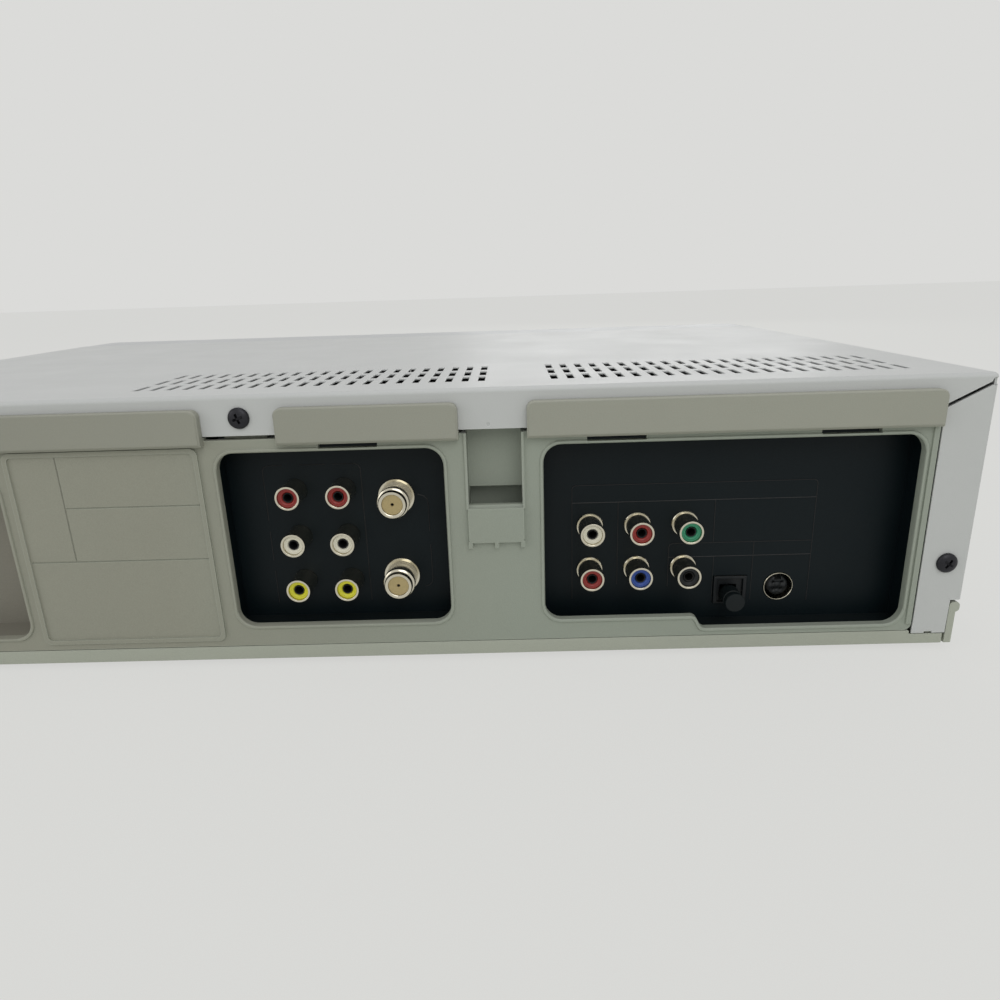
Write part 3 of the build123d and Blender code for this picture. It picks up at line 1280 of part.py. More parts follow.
# -------------------------------------------------------------- inner boards
with BuildPart() as main_board:
    block(main_board_x, main_board_y, board_z)
    board_middle = middle(main_board_y)
    for x, y, w, d, h in (
        (-12, -4, 28, 28, 2.4),
        (23, 36, 20, 14, 2.2),
        (-32, 51, 16, 24, 2.0),
        (33, -44, 24, 10, 6.0),
        (-42, -54, 12, 34, 8.0),
        (-2, 76, 70, 12, 10.0),
    ):
        chip = (disc_at[0] + x, board_middle + y)
        block(around(chip[0], w), around(chip[1], d), (board_z[1], board_z[1] + h))
    for x, y in ((46, 6), (46, 22), (13, -69)):
        rod_z(disc_at[0] + x, board_middle + y, (board_z[1], board_z[1] + 12), 4.0)
    for x, y in main_posts:
        rod_z(x, y, grown(board_z, 1), deck_screw_r + 0.15, Mode.SUBTRACT)
    # the loader's rear leg stands in a notch
    leg_x, leg_y = loader_legs[-1]
    rod_z(leg_x, leg_y, grown(board_z, 1), loader_leg_r + 1.0, Mode.SUBTRACT)

with BuildPart() as power_board:
    block(power_board_x, power_board_y, board_z)
    rod_z(transformer_at[0] + 21, transformer_at[1], (board_z[1], board_z[1] + 25), 6.0)
    heat_sink = around(transformer_at[0] - 19, 4)
    block(heat_sink, around(transformer_at[1], 24), (board_z[1], board_z[1] + 20))
    for x, y in power_posts:
        rod_z(x, y, grown(board_z, 1), deck_screw_r + 0.15, Mode.SUBTRACT)
write(main_board.part + power_board.part, "inner_boards")

with BuildPart() as transformer:
    core_x, core_y = around(transformer_at[0], 24), around(transformer_at[1], 24)
    block(core_x, core_y, (board_z[1], board_z[1] + 24))
    block(grown(core_x, -3), grown(core_y, 3), (board_z[1] + 3, board_z[1] + 20))
write(transformer.part, "transformer")

tuner_x = (f_jack_x - 14.5, vcr_jack_x[1] - rca_ring_r - 0.4)
with BuildPart() as tuner_can:
    block(tuner_x, (f_back - 24, f_back), (18, 70))
    fillet(tuner_can.edges().filter_by(Axis.Y), 1.0)
    rod_z(tuner_x[0] + 6, f_back - 7, (board_z[1], 18.5), 1.0)
write(tuner_can.part, "tuner_can")

# ------------------------------------------------------------------- screws
with BuildPart() as cover_screws:
    for x, z in rear_screws:
        rod_y(x, z, (rear_face, rear_face + screw_head_h), screw_head_r)
        rod_y(x, z, (rear_face - screw_length, rear_face), screw_r)
    for side in (-1, 1):
        for y in side_screw_y:
            rod_x(y, side_screw_z, (side * half_width, side * (half_width + screw_head_h)), screw_head_r)
            rod_x(y, side_screw_z, (side * (half_width - screw_length), side * half_width), screw_r)
    heads = cover_screws.edges().filter_by(GeomType.CIRCLE).filter_by(lambda e: e.radius > screw_head_r - 0.1)
    outer_rims = [
        e
        for e in heads
        if e.center().Y > rear_face + 1 or abs(e.center().X) > half_width + 1
    ]
    fillet(outer_rims, 0.9)
    # cross recess in each head
    for x, z in rear_screws:
        with Locations((x, rear_face + screw_head_h, z)):
            Box(4.0, 2.0, 0.9, mode=Mode.SUBTRACT)
            Box(0.9, 2.0, 4.0, mode=Mode.SUBTRACT)
    for side in (-1, 1):
        for y in side_screw_y:
            with Locations((side * (half_width + screw_head_h), y, side_screw_z)):
                Box(2.0, 4.0, 0.9, mode=Mode.SUBTRACT)
                Box(2.0, 0.9, 4.0, mode=Mode.SUBTRACT)
write(cover_screws.part, "cover_screws")

with BuildPart() as deck_screws:
    for posts, top in ((main_posts + power_posts, board_z[1]), (deck_posts, deck_z[1])):
        for x, y in posts:
            rod_z(x, y, (top, top + deck_screw_head[1]), deck_screw_head[0])
            rod_z(x, y, (top - 5.5, top), deck_screw_r)
write(deck_screws.part, "deck_screws")
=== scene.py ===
import json
import math
import bmesh
import bpy
from mathutils import Matrix, Vector


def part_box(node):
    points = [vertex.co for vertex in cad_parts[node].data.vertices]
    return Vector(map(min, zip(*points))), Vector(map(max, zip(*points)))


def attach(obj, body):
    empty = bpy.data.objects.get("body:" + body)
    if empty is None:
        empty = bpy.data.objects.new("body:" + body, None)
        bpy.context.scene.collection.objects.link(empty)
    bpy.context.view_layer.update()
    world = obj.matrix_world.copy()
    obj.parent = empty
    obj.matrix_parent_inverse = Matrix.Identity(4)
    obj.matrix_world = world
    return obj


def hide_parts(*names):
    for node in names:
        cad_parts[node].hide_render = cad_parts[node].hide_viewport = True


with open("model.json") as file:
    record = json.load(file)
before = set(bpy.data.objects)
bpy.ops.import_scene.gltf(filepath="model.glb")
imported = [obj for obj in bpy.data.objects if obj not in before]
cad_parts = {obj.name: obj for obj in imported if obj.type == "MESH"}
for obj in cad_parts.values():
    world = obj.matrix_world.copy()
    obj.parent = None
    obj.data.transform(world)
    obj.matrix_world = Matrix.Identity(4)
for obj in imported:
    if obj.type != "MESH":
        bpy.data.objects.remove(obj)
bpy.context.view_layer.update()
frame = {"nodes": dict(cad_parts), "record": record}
nodes = frame["nodes"]
mm = 0.001
mergeDistance = 1e-6
print("frame loaded")


def srgb(r, g, b):
    channels = [c / 255 for c in (r, g, b)]
    return (*[c / 12.92 if c <= 0.04045 else ((c + 0.055) / 1.055) ** 2.4 for c in channels], 1)


def shade(colour, factor):
    return (*[min(1, c * factor) for c in colour[:3]], 1)


def addNode(tree, kind, values=(), **settings):
    node = tree.nodes.new(kind)
    for key, value in settings.items():
        setattr(node, key, value)
    for key, value in dict(values).items():
        node.inputs[key].default_value = value
    return node


def backdropShare(tree):
    # 1 for what the camera, gloss and glass see, 0 for the light that falls on the object
    path = addNode(tree, "ShaderNodeLightPath")
    seen = addNode(tree, "ShaderNodeMath", operation="MAXIMUM")
    share = addNode(tree, "ShaderNodeMath", operation="MAXIMUM")
    tree.links.new(path.outputs["Is Camera Ray"], seen.inputs[0])
    tree.links.new(path.outputs["Is Glossy Ray"], seen.inputs[1])
    tree.links.new(seen.outputs[0], share.inputs[0])
    tree.links.new(path.outputs["Is Transmission Ray"], share.inputs[1])
    return share.outputs[0]


def mixSurface(tree, share, lit, seen, output):
    mix = addNode(tree, "ShaderNodeMixShader")
    tree.links.new(share, mix.inputs[0])
    tree.links.new(lit.outputs[0], mix.inputs[1])
    tree.links.new(seen.outputs[0], mix.inputs[2])
    tree.links.new(mix.outputs[0], output.inputs["Surface"])


# camera at the photograph's viewpoint, looking at the connector side
photoView = {
    "lens": 25.536, "sensor": 36, "clipStart": 0.01,
    "place": (-0.0598, 0.3627, 0.1297), "turn": (72.8516, 1.765, -179.5465),
}
cameraData = bpy.data.cameras.new("photoCamera")
cameraData.lens = photoView["lens"]
cameraData.sensor_width = photoView["sensor"]
cameraData.clip_start = photoView["clipStart"]
camera = bpy.data.objects.new("photoCamera", cameraData)
camera.location = photoView["place"]
camera.rotation_euler = [math.radians(a) for a in photoView["turn"]]
bpy.context.scene.collection.objects.link(camera)
bpy.context.scene.camera = camera
bpy.context.scene.view_settings.view_transform = "Standard"

# studio: even white surround, one large soft lamp behind the camera and three weaker ones
studio = {
    "surround": 0.52,
    "backdrop": srgb(219, 219, 217),
    "floor": srgb(226, 228, 220),
    "floorGlow": 0.85,
    "floorReach": 6,
    "lamps": {
        "keyLamp": {"place": (-0.4, 1.35, 1.15), "size": 1.1, "power": 6.5},
        "sideLamp": {"place": (1.4, 0.8, 0.6), "size": 0.9, "power": 2.5},
        "frontLamp": {"place": (-0.4, -1.6, 0.7), "size": 1.0, "power": 2.4},
        "foldLamp": {"place": (-0.05, 0.1, 1.2), "size": 0.35, "power": 1.6},
    },
}
world = bpy.data.worlds.new("studioWorld")
bpy.context.scene.world = world
world.use_nodes = True
skyTree = world.node_tree
skyTree.nodes.clear()
skyOut = addNode(skyTree, "ShaderNodeOutputWorld")
skyLight = addNode(skyTree, "ShaderNodeBackground", {"Color": (1, 1, 1, 1), "Strength": studio["surround"]})
skySeen = addNode(skyTree, "ShaderNodeBackground", {"Color": studio["backdrop"], "Strength": 1.0})
mixSurface(skyTree, backdropShare(skyTree), skyLight, skySeen, skyOut)
for lampName, lamp in studio["lamps"].items():
    lampData = bpy.data.lights.new(lampName, "AREA")
    lampData.shape = "SQUARE"
    lampData.size = lamp["size"]
    lampData.energy = lamp["power"]
    lampObject = bpy.data.objects.new(lampName, lampData)
    lampObject.location = lamp["place"]
    lampObject.rotation_euler = (-Vector(lamp["place"])).to_track_quat("-Z", "Y").to_euler()
    bpy.context.scene.collection.objects.link(lampObject)
print("camera and lamps placed")

# what all the finishes share: edges painted paler, partly wear and partly a painted highlight, and dust
# lies on what faces up
ageingAndHighlight = {
    "noiseSpan": (0.3, 0.7), "coatRoughness": 0.12,
    "wornRadius": 0.5, "wornSpan": (0.995, 0.8), "wornPaler": 1.5,
    "dustSpan": (0.6, 1.0), "dustColour": srgb(190, 186, 176),
}


def ranged(tree, source, given, wanted):
    values = {"From Min": given[0], "From Max": given[1], "To Min": wanted[0], "To Max": wanted[1]}
    node = addNode(tree, "ShaderNodeMapRange", values)
    tree.links.new(source, node.inputs["Value"])
    return node.outputs[0]


def blended(tree, share, below, above, mode="MIX"):
    mix = addNode(tree, "ShaderNodeMix", data_type="RGBA", blend_type=mode)
    for socket, value in zip((mix.inputs[0], mix.inputs[6], mix.inputs[7]), (share, below, above)):
        if isinstance(value, bpy.types.NodeSocket):
            tree.links.new(value, socket)
        else:
            socket.default_value = value
    return mix.outputs[2]


def makeFinish(name, colour, roughness, metallic=0.0, mottle=0.04, mottleScale=30.0, grain=0.02,
               grainScale=2600.0, stretch=(1, 1, 1), edgeHighlightAndWear=0.0, dust=0.0, coat=0.0, specular=0.5,
               roughSpread=0.06, drift=None):
    material = bpy.data.materials.new(name)
    material.use_nodes = True
    tree = material.node_tree
    link = tree.links.new
    shader = tree.nodes["Principled BSDF"]
    shader.inputs["Metallic"].default_value = metallic
    shader.inputs["Coat Weight"].default_value = coat
    shader.inputs["Coat Roughness"].default_value = ageingAndHighlight["coatRoughness"]
    shader.inputs["Specular IOR Level"].default_value = specular
    coords = addNode(tree, "ShaderNodeTexCoord")
    mapping = addNode(tree, "ShaderNodeMapping", {"Scale": stretch})
    link(coords.outputs["Object"], mapping.inputs["Vector"])
    broad = addNode(tree, "ShaderNodeTexNoise", {"Scale": mottleScale, "Detail": 4.0, "Roughness": 0.6})
    fine = addNode(tree, "ShaderNodeTexNoise", {"Scale": grainScale, "Detail": 2.0, "Roughness": 0.5})
    link(mapping.outputs[0], broad.inputs["Vector"])
    link(mapping.outputs[0], fine.inputs["Vector"])
    broadNoise, fineNoise = broad.outputs["Fac"], fine.outputs["Fac"]
    tone = blended(tree, broadNoise, shade(colour, 1 - mottle), shade(colour, 1 + mottle))
    speck = ranged(tree, fineNoise, ageingAndHighlight["noiseSpan"], (1 - mottle, 1 + mottle / 2))
    surface = blended(tree, 1, tone, speck, "MULTIPLY")
    if drift:
        # the colour turns darker, and on the panel browner, toward one side of the case
        along = addNode(tree, "ShaderNodeSeparateXYZ")
        link(coords.outputs["Object"], along.inputs[0])
        share = ranged(tree, along.outputs["X"], (drift["from"] * mm, drift["to"] * mm), (0, 1))
        surface = blended(tree, share, surface, drift["tint"], "MULTIPLY")
    if edgeHighlightAndWear:
        # the rounded normal leaves the true one only near an edge, which is painted a little paler: a
        # painted highlight along the edges, partly wear
        bevel = addNode(tree, "ShaderNodeBevel", {"Radius": ageingAndHighlight["wornRadius"] * mm}, samples=4)
        geometry = addNode(tree, "ShaderNodeNewGeometry")
        match = addNode(tree, "ShaderNodeVectorMath", operation="DOT_PRODUCT")
        link(bevel.outputs[0], match.inputs[0])
        link(geometry.outputs["Normal"], match.inputs[1])
        edge = ranged(tree, match.outputs["Value"], ageingAndHighlight["wornSpan"], (0, edgeHighlightAndWear))
        surface = blended(tree, edge, surface, shade(colour, ageingAndHighlight["wornPaler"]))
    if dust:
        facing = addNode(tree, "ShaderNodeNewGeometry")
        split = addNode(tree, "ShaderNodeSeparateXYZ")
        link(facing.outputs["Normal"], split.inputs[0])
        upward = ranged(tree, split.outputs["Z"], ageingAndHighlight["dustSpan"], (0, dust))
        settled = addNode(tree, "ShaderNodeMath", operation="MULTIPLY")
        link(upward, settled.inputs[0])
        link(broadNoise, settled.inputs[1])
        surface = blended(tree, settled.outputs[0], surface, ageingAndHighlight["dustColour"])
    link(surface, shader.inputs["Base Color"])
    smoother, rougher = roughness - roughSpread, roughness + roughSpread
    link(ranged(tree, broadNoise, ageingAndHighlight["noiseSpan"], (smoother, rougher)), shader.inputs["Roughness"])
    bump = addNode(tree, "ShaderNodeBump", {"Strength": 1.0, "Distance": grain * mm})
    link(fineNoise, bump.inputs["Height"])
    link(bump.outputs[0], shader.inputs["Normal"])
    return material


# one entry per slot of the record
finishes = {
    "cover_paint": dict(
        colour=srgb(196, 198, 197), roughness=0.38, mottle=0.02, edgeHighlightAndWear=0.45, dust=0.05, specular=0.36),
    "base_plastic": dict(colour=srgb(173, 177, 164), roughness=0.6, grain=0.05, edgeHighlightAndWear=0.15),
    "panel_plastic": dict(
        colour=srgb(152, 159, 147), roughness=0.55, mottle=0.05, grain=0.05, edgeHighlightAndWear=0.5, dust=0.15,
        drift={"from": -60, "to": 60, "tint": (0.96, 0.87, 0.84, 1)}),
    "bezel_plastic": dict(
        colour=srgb(190, 192, 193), roughness=0.38, mottle=0.03, grain=0.015, edgeHighlightAndWear=0.15),
    "door_plastic": dict(
        colour=srgb(184, 186, 188), roughness=0.36, mottle=0.03, grain=0.015, edgeHighlightAndWear=0.15),
    "galvanised": dict(
        colour=srgb(176, 178, 180), roughness=0.38, metallic=0.9, mottle=0.12, mottleScale=160.0,
        grain=0.01),
    "foot_rubber": dict(colour=srgb(38, 38, 40), roughness=0.85, mottle=0.1, grain=0.08, dust=0.3),
    "plate_plastic": dict(
        colour=srgb(5, 17, 21), roughness=0.5, mottle=0.1, grain=0.03, edgeHighlightAndWear=0.3, dust=0.02,
        specular=0.2),
    "nickel": dict(
        colour=srgb(214, 208, 190), roughness=0.18, metallic=1.0, mottle=0.05, mottleScale=400.0,
        grain=0.004),
    "red_insert": dict(
        colour=srgb(140, 36, 30), roughness=0.35, mottle=0.05, grain=0.01, coat=0.2, dust=0.1),
    "white_insert": dict(
        colour=srgb(222, 218, 200), roughness=0.35, mottle=0.03, grain=0.01, coat=0.2, dust=0.1),
    "yellow_insert": dict(
        colour=srgb(214, 210, 46), roughness=0.35, grain=0.01, coat=0.2, dust=0.1),
    "green_insert": dict(
        colour=srgb(42, 136, 100), roughness=0.35, mottle=0.05, grain=0.01, coat=0.2, dust=0.1),
    "blue_insert": dict(
        colour=srgb(38, 72, 150), roughness=0.35, mottle=0.05, grain=0.01, coat=0.2, dust=0.1),
    "black_insert": dict(
        colour=srgb(16, 20, 23), roughness=0.42, mottle=0.08, dust=0.05, specular=0.35),
    "dielectric": dict(colour=srgb(176, 158, 112), roughness=0.5, mottle=0.08, mottleScale=300.0),
    "cap_plastic": dict(
        colour=srgb(10, 18, 20), roughness=0.5, mottle=0.06, grain=0.03, edgeHighlightAndWear=0.2, specular=0.25),
    "smoked_window": dict(
        colour=srgb(24, 25, 30), roughness=0.12, mottle=0.05, grain=0.002, coat=0.6,
        roughSpread=0.03),
    "board": dict(
        colour=srgb(38, 92, 58), roughness=0.45, mottle=0.15, mottleScale=220.0, grain=0.04,
        grainScale=900.0),
    "core": dict(
        colour=srgb(176, 128, 60), roughness=0.5, mottle=0.15, mottleScale=200.0, grain=0.05,
        stretch=(1, 1, 6)),
    "tin": dict(
        colour=srgb(188, 188, 186), roughness=0.3, metallic=0.95, mottle=0.08, mottleScale=120.0,
        grain=0.008),
    "loader_plastic": dict(
        colour=srgb(52, 53, 55), roughness=0.55, mottle=0.06, grain=0.05, dust=0.15),
    "tray_plastic": dict(
        colour=srgb(62, 63, 66), roughness=0.5, mottle=0.05, grain=0.05, edgeHighlightAndWear=0.1),
    "gear_plastic": dict(colour=srgb(226, 224, 214), roughness=0.42, mottle=0.03, grain=0.01),
    "turntable_plastic": dict(colour=srgb(76, 77, 80), roughness=0.5, mottle=0.06, grain=0.03),
    "motor_can": dict(
        colour=srgb(176, 177, 180), roughness=0.33, metallic=1.0, mottle=0.06, grain=0.006,
        stretch=(1, 1, 8)),
    "drum_alloy": dict(
        colour=srgb(212, 212, 214), roughness=0.22, metallic=1.0, grain=0.006, stretch=(1, 1, 14)),
    "shaft_steel": dict(
        colour=srgb(186, 187, 190), roughness=0.2, metallic=1.0, mottle=0.05, grain=0.004,
        stretch=(1, 1, 10)),
    "roller_rubber": dict(colour=srgb(34, 34, 35), roughness=0.8, mottle=0.1, grain=0.04),
    "key_plastic": dict(
        colour=srgb(198, 199, 200), roughness=0.34, mottle=0.03, grain=0.012, edgeHighlightAndWear=0.2),
    "screw_black": dict(
        colour=srgb(46, 46, 50), roughness=0.4, metallic=0.7, mottle=0.12, mottleScale=500.0,
        grain=0.01, edgeHighlightAndWear=0.5),
    "screw_zinc": dict(
        colour=srgb(196, 194, 180), roughness=0.32, metallic=0.95, mottle=0.1, mottleScale=500.0,
        grain=0.01),
}

# finishes of the scene's own pieces that have no slot to themselves
localFinishes = {
    "plateLine": dict(colour=srgb(3, 5, 7), roughness=0.5, mottle=0.08),
    # painted shade: near black, put inside the holes of the jacks
    "socketDark": dict(colour=srgb(10, 10, 11), roughness=0.6, mottle=0.1),
    # painted highlight: the lips get a paler, warmer copy of the panel's plastic for the light they catch
    "lipPlastic": dict(
        colour=srgb(157, 158, 146), roughness=0.5, mottleScale=14.0, grain=0.04, edgeHighlightAndWear=0.6, dust=0.1,
        drift={"from": -100, "to": 160, "tint": (0.84, 0.83, 0.82, 1)}),
    # painted shade: a darker, browner copy of the panel's plastic for the deep mains bay
    "bayPlastic": dict(
        colour=srgb(128, 125, 114), roughness=0.6, mottle=0.07, grain=0.05, edgeHighlightAndWear=0.3, dust=0.1),
    "segment": dict(colour=srgb(62, 72, 72), roughness=0.3, mottle=0.05, grain=0.003),
    "keyMark": dict(colour=srgb(70, 74, 80), roughness=0.5, mottle=0.05, grain=0.01),
    "floor": dict(
        colour=studio["floor"], roughness=0.75, mottle=0.012, mottleScale=4.0, grain=0.05,
        specular=0.2),
}
allFinishes = {**finishes, **localFinishes}
materials = {name: makeFinish(name + "Finish", **values) for name, values in allFinishes.items()}
print("finishes mixed")

# how far a moulded or folded edge is broken, as shares of the bevel's width
easing = {"sharpest": 35, "shortest": 5, "neighbour": 2.6, "flat": 0.6}


def placePiece(bm, name, finish, body, replaced=(), smooth=35, weighted=False):
    mesh = bpy.data.meshes.new(name)
    for face in bm.faces:
        face.smooth = True
    bm.to_mesh(mesh)
    bm.free()
    mesh.set_sharp_from_angle(angle=math.radians(smooth))
    mesh.materials.append(materials[finish])
    piece = bpy.data.objects.new(name, mesh)
    bpy.context.scene.collection.objects.link(piece)
    if weighted:
        weights = piece.modifiers.new("evenShading", "WEIGHTED_NORMAL")
        weights.keep_sharp = True
    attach(piece, body)
    if replaced:
        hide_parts(*replaced)
    return piece


def merged(bm):
    bmesh.ops.remove_doubles(bm, verts=bm.verts, dist=mergeDistance)
    return bm


def sealed(bm):
    bmesh.ops.recalc_face_normals(merged(bm), faces=bm.faces)
    return bm


def joinInto(bm, part):
    carrier = bpy.data.meshes.new("carrier")
    part.to_mesh(carrier)
    part.free()
    bm.from_mesh(carrier)
    bpy.data.meshes.remove(carrier)


def easeEdges(bm, width):
    edges = []
    for edge in bm.edges:
        if not edge.is_manifold or not edge.is_convex or edge.calc_length() < easing["shortest"] * width:
            continue
        if edge.calc_face_angle() < math.radians(easing["sharpest"]):
            continue
        around = [other for vert in edge.verts for other in vert.link_edges]
        if all(other.calc_length() > easing["neighbour"] * width for other in around):
            edges.append(edge)
    bmesh.ops.bevel(bm, geom=edges, offset=width, offset_type="OFFSET", segments=2, profile=0.5,
                    affect="EDGES", material=-1, clamp_overlap=False)


def softened(node, name, finish, width, body):
    bm = bmesh.new()
    bm.from_mesh(nodes[node].data)
    flat = math.radians(easing["flat"])
    bmesh.ops.dissolve_limit(merged(bm), angle_limit=flat, verts=bm.verts, edges=bm.edges)
    easeEdges(bm, width * mm)
    return placePiece(bm, name, finish, body, replaced=(node,), weighted=True)


def standing(place, direction, spin=0):
    # carries a part drawn upright at the origin to its place, in millimetres
    turn = Vector(direction).to_track_quat("Z", "Y").to_matrix().to_4x4()
    return Matrix.Translation(Vector(place) * mm) @ turn @ Matrix.Rotation(spin, 4, "Z")


def turned(bm, profile, place, direction, steps=40, closed=False):
    # the profile's points are (radius, distance along the axis) in millimetres
    part = bmesh.new()
    verts = [part.verts.new((r * mm, 0, d * mm)) for r, d in profile]
    pairs = list(zip(verts, verts[1:])) + ([(verts[-1], verts[0])] if closed else [])
    edges = [part.edges.new(pair) for pair in pairs]
    bmesh.ops.spin(part, geom=verts + edges, cent=(0, 0, 0), axis=(0, 0, 1), dvec=(0, 0, 0),
                   angle=math.tau, steps=steps, use_merge=True, use_duplicate=False)
    sealed(part)
    bmesh.ops.transform(part, matrix=standing(place, direction), verts=part.verts)
    joinInto(bm, part)


def carve(piece, cutter):
    mesh = bpy.data.meshes.new(piece.name + "Cut")
    cutter.to_mesh(mesh)
    cutter.free()
    tool = bpy.data.objects.new(piece.name + "Cut", mesh)
    bpy.context.scene.collection.objects.link(tool)
    modifier = piece.modifiers.new("cut", "BOOLEAN")
    modifier.object = tool
    modifier.operation = "DIFFERENCE"
    modifier.solver = "EXACT"
    graph = bpy.context.evaluated_depsgraph_get()
    result = bpy.data.meshes.new_from_object(piece.evaluated_get(graph))
    piece.modifiers.remove(modifier)
    bpy.data.objects.remove(tool)
    piece.data = result


# housing: the same sheet and mouldings with broken edges
housing = {
    "coverShell": ("top_cover", "cover_paint", 0.22, "case"),
    "baseMoulding": ("base_frame", "base_plastic", 0.3, "case"),
    "rearMoulding": ("rear_panel", "panel_plastic", 0.22, "case"),
    # the lips' finish is a painted highlight
    "rearLips": ("rear_lips", "lipPlastic", 0.3, "case"),
    # the mains bay's finish is painted shade
    "rearPockets": ("rear_pockets", "bayPlastic", 0.25, "case"),
    "frontMoulding": ("front_bezel", "bezel_plastic", 0.35, "case"),
    "trayDoor": ("tray_front", "door_plastic", 0.3, "tray"),
    "cassetteDoor": ("cassette_flap", "door_plastic", 0.3, "cassette_door"),
    "tapeJackPlate": ("jack_plate_vcr", "plate_plastic", 0.2, "case"),
    "discJackPlate": ("jack_plate_dvd", "plate_plastic", 0.2, "case"),
    "mainsInlet": ("ac_inlet", "black_insert", 0.25, "case"),
    "opticalSocket": ("optical_jack", "black_insert", 0.2, "case"),
    "displayPane": ("display_window", "smoked_window", 0.25, "case"),
    "powerKey": ("power_button", "key_plastic", 0.4, "power_button"),
    "openKey": ("open_button", "key_plastic", 0.4, "open_button"),
    "discPlayKey": ("dvd_play_button", "key_plastic", 0.4, "dvd_play_button"),
    "discStopKey": ("dvd_stop_button", "key_plastic", 0.4, "dvd_stop_button"),
    "tapeEjectKey": ("vcr_eject_button", "key_plastic", 0.4, "vcr_eject_button"),
    "tapePlayKey": ("vcr_play_button", "key_plastic", 0.4, "vcr_play_button"),
    "windRocker": ("wind_rocker", "key_plastic", 0.4, "wind_rocker"),
    "discTray": ("disc_tray", "tray_plastic", 0.3, "tray"),
}
shown = {s["node"]: s["material_slot"] for s in frame["record"]["subparts"]}
moulded = {}
for pieceName, (node, finish, width, body) in housing.items():
    moulded[pieceName] = softened(node, pieceName, finish, width, body)

# the cord channel keeps the panel's own plastic; the mains bay keeps the darker finish, which is painted
# shade
pocketMesh = moulded["rearPockets"].data
pocketMesh.materials.append(materials["panel_plastic"])
for face in pocketMesh.polygons:
    if face.center.x < 0:
        face.material_index = 1
print("housing softened")

# phono jacks: rolled nickel shells round coloured inserts, in rows of the same height
plateFace = 125.2  # the dark plates' outer face
toRear, toFront = (0, 1, 0), (0, -1, 0)
phono = {
    "radius": 4.2, "inner": 3.4, "seatRadius": 4.75, "seatHeight": 0.9, "length": 10.3, "tail": 2.0,
    "insertSet": 0.75, "insertGap": 0.02, "hole": 1.7, "holeDepth": 6.5, "insertFloor": 0.6,
    "contactSet": 0.35, "contactWall": 0.25, "contactFloor": 0.3,
    "banks": {
        "tape": {
            "face": plateFace, "way": toRear, "seated": False, "x": (15.8, -1.3),
            "rows": {62.0: ("red", "red"), 45.0: ("white", "white"), 28.1: ("yellow", "yellow")},
        },
        "disc": {
            "face": plateFace, "way": toRear, "seated": True, "x": (-87.05, -103.85, -120.6),
            "rows": {46.0: ("white", "red", "green"), 29.5: ("red", "blue", "black")},
        },
        "front": {
            "face": -128.1, "way": toFront, "seated": False, "x": (168.0, 182.0, 196.0),
            "rows": {15.5: ("yellow", "white", "red")},
        },
    },
}
insertNodes = {
    "red": "rca_inserts_red", "white": "rca_inserts_white", "yellow": "rca_inserts_yellow",
    "green": "rca_insert_green", "blue": "rca_insert_blue", "black": "black_inserts",
}


def phonoShell(bm, place, way, seated):
    outer, inner, length, tail = phono["radius"], phono["inner"], phono["length"], phono["tail"]
    seat = [(outer, 0.0)]
    if seated:
        wide, high = phono["seatRadius"], phono["seatHeight"]
        seat = [(wide, 0.0), (wide, high - 0.2), (wide - 0.2, high), (outer + 0.05, high)]
    lip = [(outer, length - 0.5), (outer + 0.02, length - 0.3), (outer - 0.1, length - 0.08)]
    lip += [(outer - 0.3, length), (inner + 0.25, length), (inner + 0.08, length - 0.1)]
    lip += [(inner, length - 0.35)]
    turned(bm, [(inner, -tail), (outer, -tail)] + seat + lip, place, way, steps=48, closed=True)


def phonoInsert(bm, place, way):
    # a funnel leads into the hole, and a fine groove runs round the face
    top, hole = phono["length"] - phono["insertSet"], phono["hole"]
    rim, bottom = phono["inner"] - phono["insertGap"], top - phono["holeDepth"]
    under = bottom - phono["insertFloor"]
    profile = [(hole, bottom), (hole, top - 0.9), (hole + 0.45, top - 0.15), (hole + 0.7, top)]
    profile += [(2.5, top), (2.6, top - 0.12), (2.75, top - 0.12), (2.85, top)]
    profile += [(rim - 0.2, top), (rim, top - 0.2), (rim, under), (0, under), (0, bottom)]
    turned(bm, profile, place, way, steps=40, closed=True)


def phonoContactShade(bm, place, way):
    # the spring tube that lines the hole, near black as painted shade inside the hole
    top = phono["length"] - phono["insertSet"] - phono["contactSet"]
    radius, bottom = phono["hole"] - phono["insertGap"], top - phono["holeDepth"] + 0.8
    inner, under = radius - phono["contactWall"], bottom - phono["contactFloor"]
    profile = [(0, bottom), (inner, bottom), (inner, top - 0.1), (radius - 0.12, top), (radius, top)]
    turned(bm, profile + [(radius, under), (0, under)], place, way, steps=28, closed=True)


shells, contactShades = bmesh.new(), bmesh.new()
inserts = {colour: bmesh.new() for colour in insertNodes}
for bank in phono["banks"].values():
    for z, colours in bank["rows"].items():
        for x, colour in zip(bank["x"], colours):
            place = (x, bank["face"], z)
            phonoShell(shells, place, bank["way"], bank["seated"])
            phonoContactShade(contactShades, place, bank["way"])
            phonoInsert(inserts[colour], place, bank["way"])
placePiece(shells, "phonoShells", "nickel", "case", replaced=("rca_shells",))
placePiece(contactShades, "phonoContacts", "socketDark", "case")

